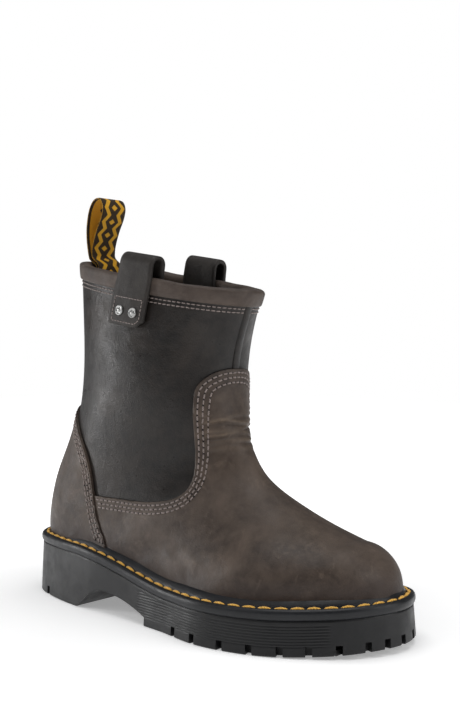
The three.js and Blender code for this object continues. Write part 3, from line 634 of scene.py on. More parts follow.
def leather(name, dark, middle, light, roughness=0.55, grain=1.0, scuff=0.5, painted=False):
    """Waxed leather: soft clouds where the wax has moved, fine grain, small scratches and rubbed spots."""
    m, shader = material(name, middle, roughness)
    shader.inputs["Specular IOR Level"].default_value = 0.26
    shader.inputs["Sheen Weight"].default_value = 0.03
    shader.inputs["Sheen Roughness"].default_value = 0.5
    n = Nodes(m, shader)
    clouds = n.noise(26, 4, 0.6, 0.4)
    mottle = n.noise(150, 4, 0.62, 0.3)
    color = n.ramp(clouds, (0.3, dark), (0.5, middle), (0.72, light))
    color = n.blend(n.ramp(mottle, (0.38, 0.0), (0.66, 0.45)), color, light)
    pores = n.cells(1500)
    color = n.blend(n.ramp(pores, (0.0, 0.28), (0.35, 0.0)), color, tuple(c * 0.45 for c in dark))
    rubbed = n.math("MULTIPLY", n.ramp(n.noise(55, 5, 0.7, 1.2), (0.56, 0.0), (0.74, 1.0)), scuff)
    color = n.blend(rubbed, color, tuple(min(c * 1.6, 1) for c in light))
    if painted:
        color = n.blend(n.math("MULTIPLY", n.attribute("low"), 0.62), color, (0.022, 0.0125, 0.0105))
        patches = n.ramp(n.noise(230, 5, 0.7), (0.3, 0.35), (0.65, 1.0))
        rubbed = n.math("MULTIPLY", n.attribute("worn"), patches)
        color = n.blend(n.math("MULTIPLY", rubbed, 0.6), color, (0.17, 0.125, 0.088))
    n.to("Base Color", color)
    n.to("Roughness", n.ramp(n.noise(90, 4, 0.6), (0.3, roughness - 0.1), (0.7, roughness + 0.12)))
    pebbles = n.math("MULTIPLY", n.cells(950), 0.7)
    grain_height = n.math("ADD", pebbles, n.math("MULTIPLY", n.noise(2600, 2), 0.5))
    fine = n.bump(grain_height, 0.00022 * grain, 0.55)
    n.to("Normal", n.bump(n.noise(130, 3, 0.5, 0.5), 0.0009, 0.35, under=fine))
    return m


def rubber(name, color, roughness):
    m, shader = material(name, color, roughness)
    shader.inputs["Specular IOR Level"].default_value = 0.32
    n = Nodes(m, shader)
    n.to("Base Color", n.ramp(n.noise(60, 5, 0.6), (0.3, tuple(c * 0.8 for c in color)),
                              (0.7, tuple(c * 1.25 for c in color))))
    n.to("Roughness", n.ramp(n.noise(110, 5, 0.6), (0.3, roughness - 0.08), (0.7, roughness + 0.12)))
    n.to("Normal", n.bump(n.noise(3200, 3, 0.6), 0.00006, 0.5, under=n.bump(n.noise(220, 3), 0.0003, 0.2)))
    return m


def thread(name, light, dark, twist=1500, roughness=0.55):
    m, shader = material(name, light, roughness)
    shader.inputs["Sheen Weight"].default_value = 0.3
    n = Nodes(m, shader)
    wave = n.add("ShaderNodeTexWave", Vector=n.place, Scale=twist / 6, Distortion=1.5)
    wave.bands_direction = "DIAGONAL"
    color = n.blend(n.ramp(wave.outputs["Fac"], (0.2, 0.0), (0.8, 1.0)), dark, light)
    n.to("Base Color", n.blend(n.noise(400, 3), color, tuple(c * 0.75 for c in light)))
    n.to("Normal", n.bump(wave.outputs["Fac"], 0.00025, 0.7))
    return m


def cloth(name, dark, light, pitch=0.0009, roughness=0.9):
    """A brushed textile with an even plain weave."""
    m, shader = material(name, light, roughness)
    shader.inputs["Sheen Weight"].default_value = 0.25
    n = Nodes(m, shader)
    weave = []
    for axis in ("X", "Z"):
        wave = n.add("ShaderNodeTexWave", Vector=n.place, Scale=1 / pitch / 3.2, Distortion=0.6)
        wave.bands_direction = axis
        weave.append(wave.outputs["Fac"])
    height = n.math("MULTIPLY", *weave)
    n.to("Base Color", n.blend(n.noise(70, 4), n.blend(height, dark, light), dark))
    n.to("Normal", n.bump(height, 0.0003, 0.5))
    return m


def metal(name, color, roughness, brushed=0.3):
    m, shader = material(name, color, roughness, Metallic=1.0)
    n = Nodes(m, shader)
    n.to("Base Color", n.ramp(n.noise(300, 4), (0.35, tuple(c * 0.7 for c in color)), (0.65, color)))
    n.to("Roughness", n.ramp(n.noise(700, 4), (0.3, roughness), (0.7, roughness + brushed)))
    n.to("Normal", n.bump(n.noise(1400, 3), 0.00005, 0.4))
    return m


def fibre(name, dark, light, roughness=0.9):
    """Board, felt or foam: short pressed fibres."""
    m, shader = material(name, light, roughness)
    n = Nodes(m, shader)
    fibres = n.noise(900, 6, 0.7, 1.5)
    n.to("Base Color", n.blend(fibres, dark, light))
    n.to("Normal", n.bump(fibres, 0.0004, 0.6))
    return m


def webbing(name):
    """Woven tape: an amber zigzag on black on its outer face, amber within a black edge on its inner face.

    U runs along the tape and V across it, both in tape widths; V is 0 to 1 outside and 2 to 3 inside.
    """
    black, amber = (0.006, 0.006, 0.008), (0.66, 0.34, 0.02)
    m, shader = material(name, black, 0.72)
    shader.inputs["Sheen Weight"].default_value = 0.02
    shader.inputs["Specular IOR Level"].default_value = 0.2
    n = Nodes(m, shader)
    split = n.add("ShaderNodeSeparateXYZ", Vector=n.add("ShaderNodeUVMap").outputs["UV"])
    u, v = split.outputs[0], split.outputs[1]
    inner = n.math("GREATER_THAN", v, 1.5)
    across = n.math("FRACT", v)
    centred = n.math("ABSOLUTE", n.math("SUBTRACT", across, 0.5))
    # Outer face: two zigzag lines with a row of small diamonds between them.
    zigzag = n.math("ABSOLUTE", n.math("SUBTRACT", n.math("FRACT", n.math("MULTIPLY", u, 2.2)), 0.5))
    bent = n.math("ADD", centred, n.math("MULTIPLY", zigzag, 0.34))
    line = n.math("ABSOLUTE", n.math("SUBTRACT", bent, 0.36))
    stripes = n.math("LESS_THAN", line, 0.08)
    slope = n.math("ADD", n.math("MULTIPLY", centred, 1.5), n.math("MULTIPLY", zigzag, 0.9))
    diamond = n.math("LESS_THAN", slope, 0.19)
    outer_pattern = n.math("MAXIMUM", stripes, diamond)
    # Inner face: plain amber inside black edges, with a thin broken line along its middle.
    field = n.math("LESS_THAN", centred, 0.4)
    dashes = n.math("LESS_THAN", n.math("ADD", n.math("MULTIPLY", centred, 3), zigzag), 0.2)
    inner_pattern = n.math("MULTIPLY", field, n.math("SUBTRACT", 1.0, dashes))
    pattern = n.math("ADD", n.math("MULTIPLY", inner, inner_pattern),
                     n.math("MULTIPLY", n.math("SUBTRACT", 1.0, inner), outer_pattern))
    rib = n.math("SINE", n.math("MULTIPLY", u, 240))
    yarn = n.math("SINE", n.math("MULTIPLY", across, 190))
    weave = n.math("MULTIPLY", n.math("ADD", rib, 1.0), n.math("ADD", yarn, 1.0))
    color = n.blend(pattern, black, amber)
    n.to("Base Color", n.blend(n.math("MULTIPLY", weave, 0.1), color, tuple(c * 0.4 for c in amber), "MIX"))
    n.to("Normal", n.bump(weave, 0.00012, 0.6))
    return m


VAMP_LEATHER = leather(
    "vamp_leather", (0.025, 0.0172, 0.0133), (0.051, 0.0365, 0.0281), (0.094, 0.069, 0.053),
    0.5, painted=True,
)
QUARTER_LEATHER = leather(
    "quarter_leather", (0.005, 0.0041, 0.0038), (0.0088, 0.007, 0.0062), (0.023, 0.0175, 0.0142),
    0.36, scuff=0.12,
)
COLLAR_LEATHER = leather(
    "collar_leather", (0.028, 0.0195, 0.016), (0.05, 0.0365, 0.0295), (0.085, 0.064, 0.052),
    0.55, grain=0.8, scuff=0.3,
)
STRAP_LEATHER = leather(
    "strap_leather", (0.011, 0.009, 0.008), (0.019, 0.016, 0.0142), (0.034, 0.029, 0.025),
    0.55, scuff=0.25,
)
RUBBER = rubber("sole_rubber", (0.0105, 0.0105, 0.0112), 0.42)
WELT_RUBBER = rubber("welt_rubber", (0.0105, 0.0112, 0.013), 0.36)
WELT_THREAD = thread("welt_thread", (1.0, 0.56, 0.07), (0.72, 0.32, 0.03))
SEAM_THREAD = thread("seam_thread", (0.31, 0.245, 0.222), (0.12, 0.092, 0.082), twist=2600)
# The needle holes are painted shade: a near-black matte colour on small domes stands in for the shadow down
# each hole.
HOLE_SHADE = rubber("needle_hole_shade", (0.006, 0.005, 0.005), 0.9)
LINING_CLOTH = cloth("lining_cloth", (0.012, 0.011, 0.010), (0.026, 0.022, 0.02))
WEBBING = webbing("loop_webbing")
STEEL = metal("toe_steel", (0.42, 0.43, 0.44), 0.35)
SILVER = metal("rivet_metal", (0.40, 0.40, 0.39), 0.28, 0.15)
BOARD = fibre("board", (0.20, 0.13, 0.07), (0.40, 0.28, 0.17))
FELT = fibre("felt", (0.16, 0.15, 0.14), (0.30, 0.29, 0.27))
FOAM = fibre("foam", (0.02, 0.02, 0.022), (0.05, 0.05, 0.055))

# ---------------------------------------------------------------- the upper
CREASES = [  # height at the front, tilt across, depth and width of each crease
    (140, 0.10, 0.5, 1.2), (136, -0.05, 0.8, 1.1), (131.5, 0.08, 0.95, 1.2), (127.5, -0.04, 0.9, 1.1),
    (123, 0.05, 0.7, 1.4), (117.5, 0.0, 0.4, 1.8),
]


def creases(x, y, z):
    """Fine creases across the ankle's front: their relief outwards in mm, and how worn they are."""
    front = smooth((x - 4) / 12) * smooth((z - 108) / 10) * smooth((152 - z) / 8)
    relief, worn = np.zeros(len(x)), np.zeros(len(x))
    for level, tilt, depth, width in CREASES:
        line = level + tilt * y + 0.9 * np.sin(y / 6 + level) + 0.12 * (x - 20)
        crease = np.exp(-((z - line) / width) ** 2)
        swell = np.exp(-((z - line - 2.3) / (width * 1.1)) ** 2)
        strength = front * depth * (0.65 + 0.35 * np.sin(y / 9 + 2 * level))
        relief += strength * (0.6 * swell - crease)
        worn += strength * swell
    return relief, worn


def wrinkles():
    """The creases and a slow waviness everywhere, outwards in mm."""
    x, y, z = SKIN.T
    slow = 0.35 * np.sin(x / 23 + 1.3) * np.sin(z / 31 + y / 29)
    quick = 0.2 * np.sin(z / 13 + x / 17) * np.sin(y / 15)
    return slow + quick + creases(x, y, z)[0]


def paint(obj):
    """Vertex values for the leather: worn crests, the toe's rubbed top and the darker strip low down."""
    places = np.array([v.co for v in obj.data.vertices]) / MM - SHIFT
    x, y, z = places.T
    toe = 0.28 * smooth((x - 62) / 30) * smooth((z - 62) / 10)
    low = smooth((20 - z + welt_top(x)) / 16)
    for name, values in (("worn", creases(x, y, z)[1] + toe), ("low", low)):
        layer = obj.data.attributes.new(name, "FLOAT", "POINT")
        layer.data.foreach_set("value", np.clip(values, 0, 1).astype(np.float32))


def seam_relief(field):
    """The leather is pulled down along each stitch row and swells between rows."""
    relief = np.zeros(len(field))
    for row in SEAM_ROWS:
        relief -= 0.22 * np.exp(-((field - row) / 0.75) ** 2)
    relief += 0.18 * smooth(field / 1.5) * smooth((11.5 - field) / 2)
    return relief


RELIEF = wrinkles()
ABOVE_LIP = OVER_WELT + 2.5
VAMP_CUT = IN_VAMP - 0.75
HEEL_CUT = IN_HEEL - 0.75
vamp = panel("vamp_leather_panel", [VAMP_CUT, 3 - IN_HEEL, ABOVE_LIP], VAMP_DEPTH, LEATHER, VAMP_LEATHER,
             relief=RELIEF + seam_relief(IN_VAMP), replaces=["vamp"], slot="vamp_leather")
heel = panel("heel_leather_panel", [HEEL_CUT, ABOVE_LIP], HEEL_DEPTH, LEATHER, VAMP_LEATHER,
             relief=RELIEF + seam_relief(IN_HEEL), replaces=["heel_panel"], slot="vamp_leather")
paint(vamp)
paint(heel)
OUTER_SIDE = -SKIN[:, 1] - 0.75
INNER_SIDE = SKIN[:, 1] - 0.75
for side_name, side_field in (("lateral", OUTER_SIDE), ("medial", INNER_SIDE)):
    below_band = UNDER_RIM - BAND_HEIGHT + 1.2
    panel(f"quarter_{side_name}_leather", [side_field, 6 - IN_VAMP, 6 - IN_HEEL, below_band],
          QUARTER_DEPTH, LEATHER, QUARTER_LEATHER, relief=RELIEF,
          replaces=[f"quarter_{side_name}"], slot="quarter_leather")
panel("boot_lining", [UNDER_RIM - 3, OVER_WELT - 1], LINING_DEPTH, 1.2, LINING_CLOTH,
      replaces=["shaft_lining", "vamp_lining"], slot="lining_fabric")

# Stitch rows along the panel edges.
seams = []
for row in SEAM_ROWS:
    for field, depth, over_welt in ((IN_VAMP, VAMP_DEPTH, 4.6), (IN_HEEL, HEEL_DEPTH, 5.5)):
        on_panel = (OVER_WELT > over_welt) & ((field is IN_HEEL) | (IN_HEEL < 0))
        raised = RELIEF + seam_relief(field) - depth
        for line in contour(field, row, np.where(on_panel, 1.0, -1.0), raised):
            seams.append(resampled(line, SEAM_PITCH))
stitches("seam_stitches", seams, SEAM_THREAD, 3.3, 0.57, slot="strap_leather", lift=0.3, sink=0.6)
# Dark domes of painted shade stand for the needle holes between the seam stitches.
hole_shades("seam_needle_hole_shades", seams, HOLE_SHADE, 0.74, pitch=SEAM_PITCH, lift=0.06, slot="strap_leather")


# ---------------------------------------------------------------- the collar
def over_rim(angle, height, depth):
    """Points at a height over the rim, measured along the shaft, and at a depth below its face."""
    pace = np.linalg.norm(last_point(angle * 0 + 0.02, angle) - last_point(angle * 0, angle), axis=-1) / 0.02
    t = -height / pace
    return last_point(t, angle) - last_normal(t, angle) * np.reshape(depth, (-1, 1))


COLLAR_STEPS = 260
COLLAR_SECTION = [
    (-10.9, 1.2), (-11.3, 0.5), (-11.1, -0.1), (-10.4, -0.5), (-8, -0.75), (-5.5, -0.85), (-3, -0.9),
    (-1.3, -0.8), (-0.3, -0.3), (0.2, 0.7), (0.4, 2.4), (0.4, 4), (0.2, 5.6), (-0.6, 7), (-2, 7.8),
    (-5, 8.1), (-9, 7.9), (-11, 7.5), (-11.4, 6.9), (-10.8, 6.4), (-6, 6.2), (-3, 5), (-3, 3),
    (-6, 2), (-9, 1.8),
]
angles = np.arange(COLLAR_STEPS) * TURN / COLLAR_STEPS
rings = []
for height, depth in COLLAR_SECTION:
    wave = 0.3 * np.sin(5 * angles + 1) + 0.2 * np.sin(9 * angles + 2.2) + 0.12 * np.sin(17 * angles)
    rings.append(over_rim(angles, height + wave * (height > -4), np.full(COLLAR_STEPS, depth) - 0.3 * wave))
band = np.stack(rings, 1)
points, faces = sweep(list(band), closed=True)
make("collar_band_leather", points, faces, COLLAR_LEATHER, replaces=["collar_band"], slot="collar_leather")

COLLAR_ROWS = (-13.2, -16.0)
COLLAR_PITCH = 3.6
collar_rows = []
for height in COLLAR_ROWS:
    row = over_rim(angles, np.full(COLLAR_STEPS, height), np.full(COLLAR_STEPS, QUARTER_DEPTH - 0.15))
    normals = last_normal(np.full(COLLAR_STEPS, 0.35), angles)
    collar_rows.append(resampled(np.hstack([row, normals]), COLLAR_PITCH, closed=True))
stitches("collar_stitches", collar_rows, SEAM_THREAD, 2.8, 0.45, slot="strap_leather", lift=0.3, sink=0.6)
# Dark domes of painted shade stand for the needle holes between the collar stitches.
hole_shades("collar_needle_hole_shades", collar_rows, HOLE_SHADE, 0.5, pitch=COLLAR_PITCH, lift=0.05, slot="strap_leather")


SEAM_STRIP_HALF = 3.3


def seam_strip(name, angle, t_end, node):
    """The raised piping over the shaft's front or back seam."""
    start = (BAND_HEIGHT - 1.5) / 38
    ts = np.linspace(start, t_end, 90)
    half = SEAM_STRIP_HALF
    profile = [(-1, 0.4), (-1.02, -0.1), (-0.9, -0.55), (-0.6, -0.85), (0, -0.95), (0.6, -0.85), (0.9, -0.55),
               (1.02, -0.1), (1, 0.4), (0, 0.5)]
    rings = []
    middle = last_point(ts, np.full(len(ts), angle))
    normal = last_normal(ts, np.full(len(ts), angle))
    for p, n in zip(middle, normal):
        rings.append(np.array([p - n * (QUARTER_DEPTH + 0.1 + d * 1.35) + np.array([0, a * half, 0])
                               - n * abs(a * half) ** 2 / 90 for a, d in profile]))
    points, faces = sweep(rings)
    return make(name, points, faces, QUARTER_LEATHER, replaces=[node], slot="quarter_leather")


seam_strip("front_seam_piping", 0.0, 1.62, "front_seam_tape")
seam_strip("back_seam_piping", math.pi, 2.78, "back_seam_tape")


# ---------------------------------------------------------------- the sole and welt
RING = 640


def outline_ring(count):
    """The feather line with evenly paced points, starting at the heel's tip, with outward plan normals."""
    line = np.roll(FEATHER_FINE, -HEEL_TIP, 0)
    closed_line = np.vstack([line, line[:1]])
    steps = np.linalg.norm(np.diff(closed_line, axis=0), axis=1)
    s = np.concatenate([[0], np.cumsum(steps)])
    at = np.arange(count) * s[-1] / count
    ring = np.stack([np.interp(at, s, closed_line[:, i]) for i in range(2)], 1)
    ahead, behind = np.roll(ring, -4, 0), np.roll(ring, 4, 0)
    d = ahead - behind
    out = np.stack([d[:, 1], -d[:, 0]], 1)
    out /= np.linalg.norm(out, axis=1, keepdims=True)
    if ((ring - ring.mean(0)) * out).sum() < 0:
        out = -out
    return ring, out


EDGE, EDGE_OUT = outline_ring(RING)


def edge_ring(offset, heights):
    xy = EDGE + EDGE_OUT * np.reshape(offset, (-1, 1))
    return np.column_stack([xy, heights])


EDGE_TOP = welt_top(EDGE[:, 0])
WELT_PROFILE = [
    (-2.6, 4.0), (-0.7, 4.75), (0.2, 4.7), (0.8, 4.3), (1.5, 3.5), (2.4, 2.4), (3.1, 1.4), (3.7, 0.3),
    (4.0, -0.35), (4.4, -0.75), (5.0, -0.85), (5.6, -0.75), (6.0, -0.35), (6.5, 0.25), (7.2, 0.5),
    (8.0, 0.4), (8.8, -0.1),
    (9.4, -0.9), (9.75, -2.0), (9.8, -3.2), (9.65, -4.4), (9.2, -5.5), (8.7, -6.2), (8.2, -6.7),
    (7.0, -7.1), (2, -7.1), (-2.2, -6.5), (-2.8, 0), (-2.9, 3),
]
rings = []
for offset, height in WELT_PROFILE:
    rings.append(edge_ring(offset, EDGE_TOP + height))
points, faces = sweep(list(np.stack(rings, 1)), closed=True)
make("welt_rubber_ring", points, faces, WELT_RUBBER, replaces=["welt"], slot="sole_rubber")

# Ribs run along the wall of the forefoot and fade out at its ends.
RIB_PITCH, RIB_DEPTH = 1.8, 0.35
RIB_BACK, RIB_FRONT = -22, 122


def sole_wall():
    """Rings of the outsole from its top edge down to the ground."""
    x = EDGE[:, 0]
    top = EDGE_TOP - 6.9
    low = tread_bottom(x)
    ribbed = smooth((x - RIB_BACK) / 4) * smooth((RIB_FRONT - x) / 4)
    rows = 80
    rings = [edge_ring(5.5, top), edge_ring(8.15, top)]
    for k in range(rows + 1):
        share = k / rows
        z = top - 0.8 - share * (top - 0.8 - low - 1.2)
        swell = 8.6 + 1.5 * share
        rib = 0.5 - 0.5 * np.cos(TURN * (z - low) / RIB_PITCH)
        fade = ribbed * smooth((z - low - 5.5) / 1.5) * smooth((top - 1.5 - z) / 1.2)
        rings.append(edge_ring(swell - RIB_DEPTH * rib * fade, z))
    rings += [edge_ring(9.95, low + 0.7), edge_ring(9.6, low + 0.25), edge_ring(8.9, low)]
    return rings


wall = sole_wall()
n = RING
points = [tuple(p) for ring in wall for p in ring]
faces = []
for r in range(len(wall) - 1):
    for j in range(n):
        m = (j + 1) % n
        faces.append((r * n + j, (r + 1) * n + j, (r + 1) * n + m, r * n + m))
# The two ends are closed by strips between the outer and inner sides.
for r, flip in ((0, False), (len(wall) - 1, True)):
    ring = wall[r]
    tip = int(ring[:, 0].argmax())
    left = list(range(0, tip + 1))
    right = [(-k) % n for k in range(0, n - tip + 1)]
    i = j = 0
    while i < len(left) - 1 or j < len(right) - 1:
        ahead_left = i < len(left) - 1 and (j == len(right) - 1 or
                                            ring[left[i + 1]][0] <= ring[right[j + 1]][0])
        if ahead_left:
            tri = (left[i], left[i + 1], right[j])
            i += 1
        else:
            tri = (left[i], right[j + 1], right[j])
            j += 1
        if len(set(tri)) == 3:
            tri = tuple(r * n + v for v in tri)
            faces.append(tri if flip else tri[::-1])
faces = turn_out(points, faces)
outsole = make("outsole_rubber", points, faces, RUBBER, replaces=["outsole"], slot="sole_rubber", shade=False)


# ---------------------------------------------------------------- cutters for the sole
def prism(outline, y_low, y_high):
    """A solid with its outline in side view, between two widths."""
    k = len(outline)
    points = [(x, y_low, z) for x, z in outline] + [(x, y_high, z) for x, z in outline]
    faces = [tuple(range(k)), tuple(range(k, 2 * k))[::-1]]
    faces += [(j, k + j, k + (j + 1) % k, (j + 1) % k) for j in range(k)]
    return points, faces


def block(centre, ahead, across, up, size):
    c, a, b, u = (np.asarray(v, float) for v in (centre, ahead, across, up))
    points = [c + a * i * size[0] / 2 + b * j * size[1] / 2 + u * k * size[2] / 2
              for k in (-1, 1) for j in (-1, 1) for i in (-1, 1)]
    faces = [(0, 2, 3, 1), (4, 5, 7, 6), (0, 1, 5, 4), (2, 6, 7, 3), (0, 4, 6, 2), (1, 3, 7, 5)]
    return points, faces


NOTCH = {"width": 4.4, "height": 6.5, "depth": 5}
NOTCH_STEPS = 56
NOTCH_PLACES = [0, 1.8, 3.8, 16.2, 17.8, 19.4, 21, 22.5, 23.9, 25.3, 26.6, 27.6]
GROOVE = {"width": 3.2, "depth": 3, "reach": 70}
GROOVES = [-142, -126, -110, 4, 22, 40, 58, 76, 94, 112, 128]
cutters = []
arch = open_curve(ARCH, 40)
cutters.append(prism([(x, z) for x, z in arch] + [(-13.5, -5), (-90, -5)], -90, 90))
for place in NOTCH_PLACES + [NOTCH_STEPS - p for p in NOTCH_PLACES[1:]]:
    j = int(round(place / NOTCH_STEPS * RING)) % RING
    out = np.array([*EDGE_OUT[j], 0])
    along_edge = np.array([-out[1], out[0], 0])
    low = tread_bottom(EDGE[j, 0])
    centre = np.array([*EDGE[j], 0]) + out * (9.9 + 3 - NOTCH["depth"] / 2 - 0.5)
    centre[2] = low + NOTCH["height"] / 2 - 3
    size = (NOTCH["width"], NOTCH["depth"] + 6, NOTCH["height"] + 6)
    cutters.append(block(centre, along_edge, out, (0, 0, 1), size))
for x in GROOVES:
    low = tread_bottom(np.array([x]))[0]
    size = (GROOVE["width"], GROOVE["reach"], GROOVE["depth"] + 4)
    cutters.append(block((x, 0, low + GROOVE["depth"] - size[2] / 2), (1, 0, 0), (0, 1, 0), (0, 0, 1), size))


def cut_away(obj, solids):
    """Cuts solids out of an object with one exact boolean."""
    points, faces = [], []
    for solid_points, solid_faces in solids:
        base = len(points)
        points += [tuple(p) for p in solid_points]
        faces += [tuple(base + v for v in f) for f in turn_out(solid_points, solid_faces)]
    tool = make("cutters", points, faces, RUBBER, body=None, shade=False)
    step = obj.modifiers.new("cut", "BOOLEAN")
    step.operation, step.solver, step.object = "DIFFERENCE", "EXACT", tool
    step.use_self = True
    depsgraph = bpy.context.evaluated_depsgraph_get()
    mesh = bpy.data.meshes.new_from_object(obj.evaluated_get(depsgraph))
    obj.modifiers.clear()
    obj.data = mesh
    bpy.data.objects.remove(tool)


cut_away(outsole, cutters)
outsole.data.shade_smooth()
outsole.data.set_sharp_from_angle(angle=math.radians(32))

# Amber lockstitch in the welt's channel, and dark domes of painted shade where it goes down into its holes.
THREAD_PITCH = 10.4
ring3 = np.column_stack([edge_ring(5.05, EDGE_TOP - 0.35), np.tile([0, 0, 1.0], (RING, 1))])
ring3[:, 3:5] = EDGE_OUT * 0.25
welt_rows = [resampled(ring3, THREAD_PITCH, closed=True)]
stitches("welt_stitches", welt_rows, WELT_THREAD, 8.8, 1.2, lift=0.75, sink=0.5,
         replaces=["welt_thread"], slot="welt_thread")
hole_shades("welt_needle_hole_shades", welt_rows, HOLE_SHADE, 1.1, pitch=THREAD_PITCH, lift=0.0, slot="sole_rubber")


# ---------------------------------------------------------------- pull straps and rivets
STRAP = {
    "width": 31.5, "top_width": 29.5, "thickness": 2.7, "rise": 15.5, "below": 26, "foot": 10, "inside": 20,
}
STRAP_X = {-1: -41.2, 1: -47.5}
STRAP_LEAN = {-1: 0.05, 1: 0.0}
UP = np.array([0.1566, 0, 0.9877])
ALONG = np.array([0.9877, 0, -0.1566])


def strap_place(side, h):
    """A point up the strap's middle, h above the rim, in side view."""
    x0 = STRAP_X[side]
    foot = np.array([x0, 0, collar_line(x0) - STRAP["below"] * UP[2]])
    return foot + (h + STRAP["below"]) * UP


def on_wall(side, x, z, depth):
    """Points of the shaft's side at places in side view, at depths below its face."""
    t, angle = np.zeros(len(x)), np.full(len(x), -side * math.pi / 2)
    step = 0.01
    for _ in range(14):
        p = last_point(t, angle)
        by_t = (last_point(t + step, angle) - p) / step
        by_angle = (last_point(t, angle + step) - p) / step
        wide = by_t[:, 0] * by_angle[:, 2] - by_t[:, 2] * by_angle[:, 0]
        off_x, off_z = x - p[:, 0], z - p[:, 2]
        t = t + np.clip((off_x * by_angle[:, 2] - off_z * by_angle[:, 0]) / wide, -0.5, 0.5)
        angle = angle + np.clip((off_z * by_t[:, 0] - off_x * by_t[:, 2]) / wide, -0.3, 0.3)
    return last_point(t, angle) - last_normal(t, angle) * np.reshape(depth, (-1, 1))


EDGE_ROUNDING = 0.35  # how far the middle of a strap's cut edge stands out


def strap_path():
    """Stations round the strap: outside up, over the arch and down inside, as (height, depth at it)."""
    outer, inner = -1.85, 9.75
    rise, radius = STRAP["rise"], (9.75 + 1.85) / 2
    straight = rise - radius - STRAP["thickness"] / 2
    stations = [(h, outer) for h in np.linspace(-STRAP["below"] - STRAP["foot"], 0, 16)]
    stations += [(h, outer) for h in np.linspace(0, straight, 5)[1:]]
    for k in range(1, 12):
        a = math.pi * k / 12
        stations.append((straight + radius * math.sin(a), (outer + inner) / 2 - radius * math.cos(a)))
    stations += [(h, inner) for h in np.linspace(straight, 0, 5)[:-1]]
    stations += [(h, inner) for h in np.linspace(0, -STRAP["inside"], 8)]
    return stations


def strap(side, name):
    """Makes one pull strap, and gives the points and normals of its middle surface."""
    stations = strap_path()
    steps = 14
    end = -STRAP["below"] - STRAP["foot"]
    places, bases, depths = [], [], []
    for h, depth in stations:
        width = STRAP["width"] + (STRAP["top_width"] - STRAP["width"]) * smooth((h + 10) / 20)
        for k in range(steps + 1):
            across = k / steps - 0.5
            chamfer = max(0.0, (across - 0.3) * width * 0.8)
            height = max(h, end + chamfer) if depth < 0 else h
            lean = STRAP_LEAN[side] * max(height + STRAP["below"], 0)
            places.append(strap_place(side, height) + ALONG * (across * width + lean))
            bases.append(strap_place(side, min(height, -1.0)) + ALONG * across * width)
            depths.append(depth)
    places, bases = np.array(places), np.array(bases)
    centres = places.copy()
    centres[:, 1] = on_wall(side, bases[:, 0], bases[:, 2], depths)[:, 1]
    centres = centres.reshape(len(stations), steps + 1, 3)
    ahead = np.gradient(centres, axis=0)
    sideways = np.gradient(centres, axis=1)
    normal = np.cross(ahead, sideways)
    length = np.linalg.norm(normal, axis=2, keepdims=True)
    normal = normal / np.maximum(length, 1e-9)
    if normal[2, steps // 2, 1] * side < 0:
        normal = -normal
    half = STRAP["thickness"] / 2
    count = len(stations)
    rng = np.random.default_rng(5 + side)
    waves = 0.12 * np.sin(np.arange(count) * 0.9 + rng.uniform(0, 6))[:, None] * np.ones(steps + 1)
    outer_face = centres + normal * (half + waves[:, :, None] * 0.5)
    inner_face = centres - normal * half
    rings = []
    for middle, top, low in zip(centres, outer_face, inner_face):
        edges = []
        for side_end, next_in in ((0, 1), (-1, -2)):
            out = middle[side_end] - middle[next_in]
            out = out / np.linalg.norm(out) * EDGE_ROUNDING
            near = [face[side_end] * 0.93 + middle[side_end] * 0.07 + out * 0.75 for face in (top, low)]
            edges.append((near[0], middle[side_end] + out, near[1]))
        (top_a, edge_a, low_a), (top_b, edge_b, low_b) = edges
        rings.append(np.array([top_a, *top[1:-1], top_b, edge_b, low_b, *low[1:-1][::-1], low_a, edge_a]))
    points, faces = sweep(rings)
    make(name, points, faces, STRAP_LEATHER, replaces=[name], slot="strap_leather")
    return centres, normal


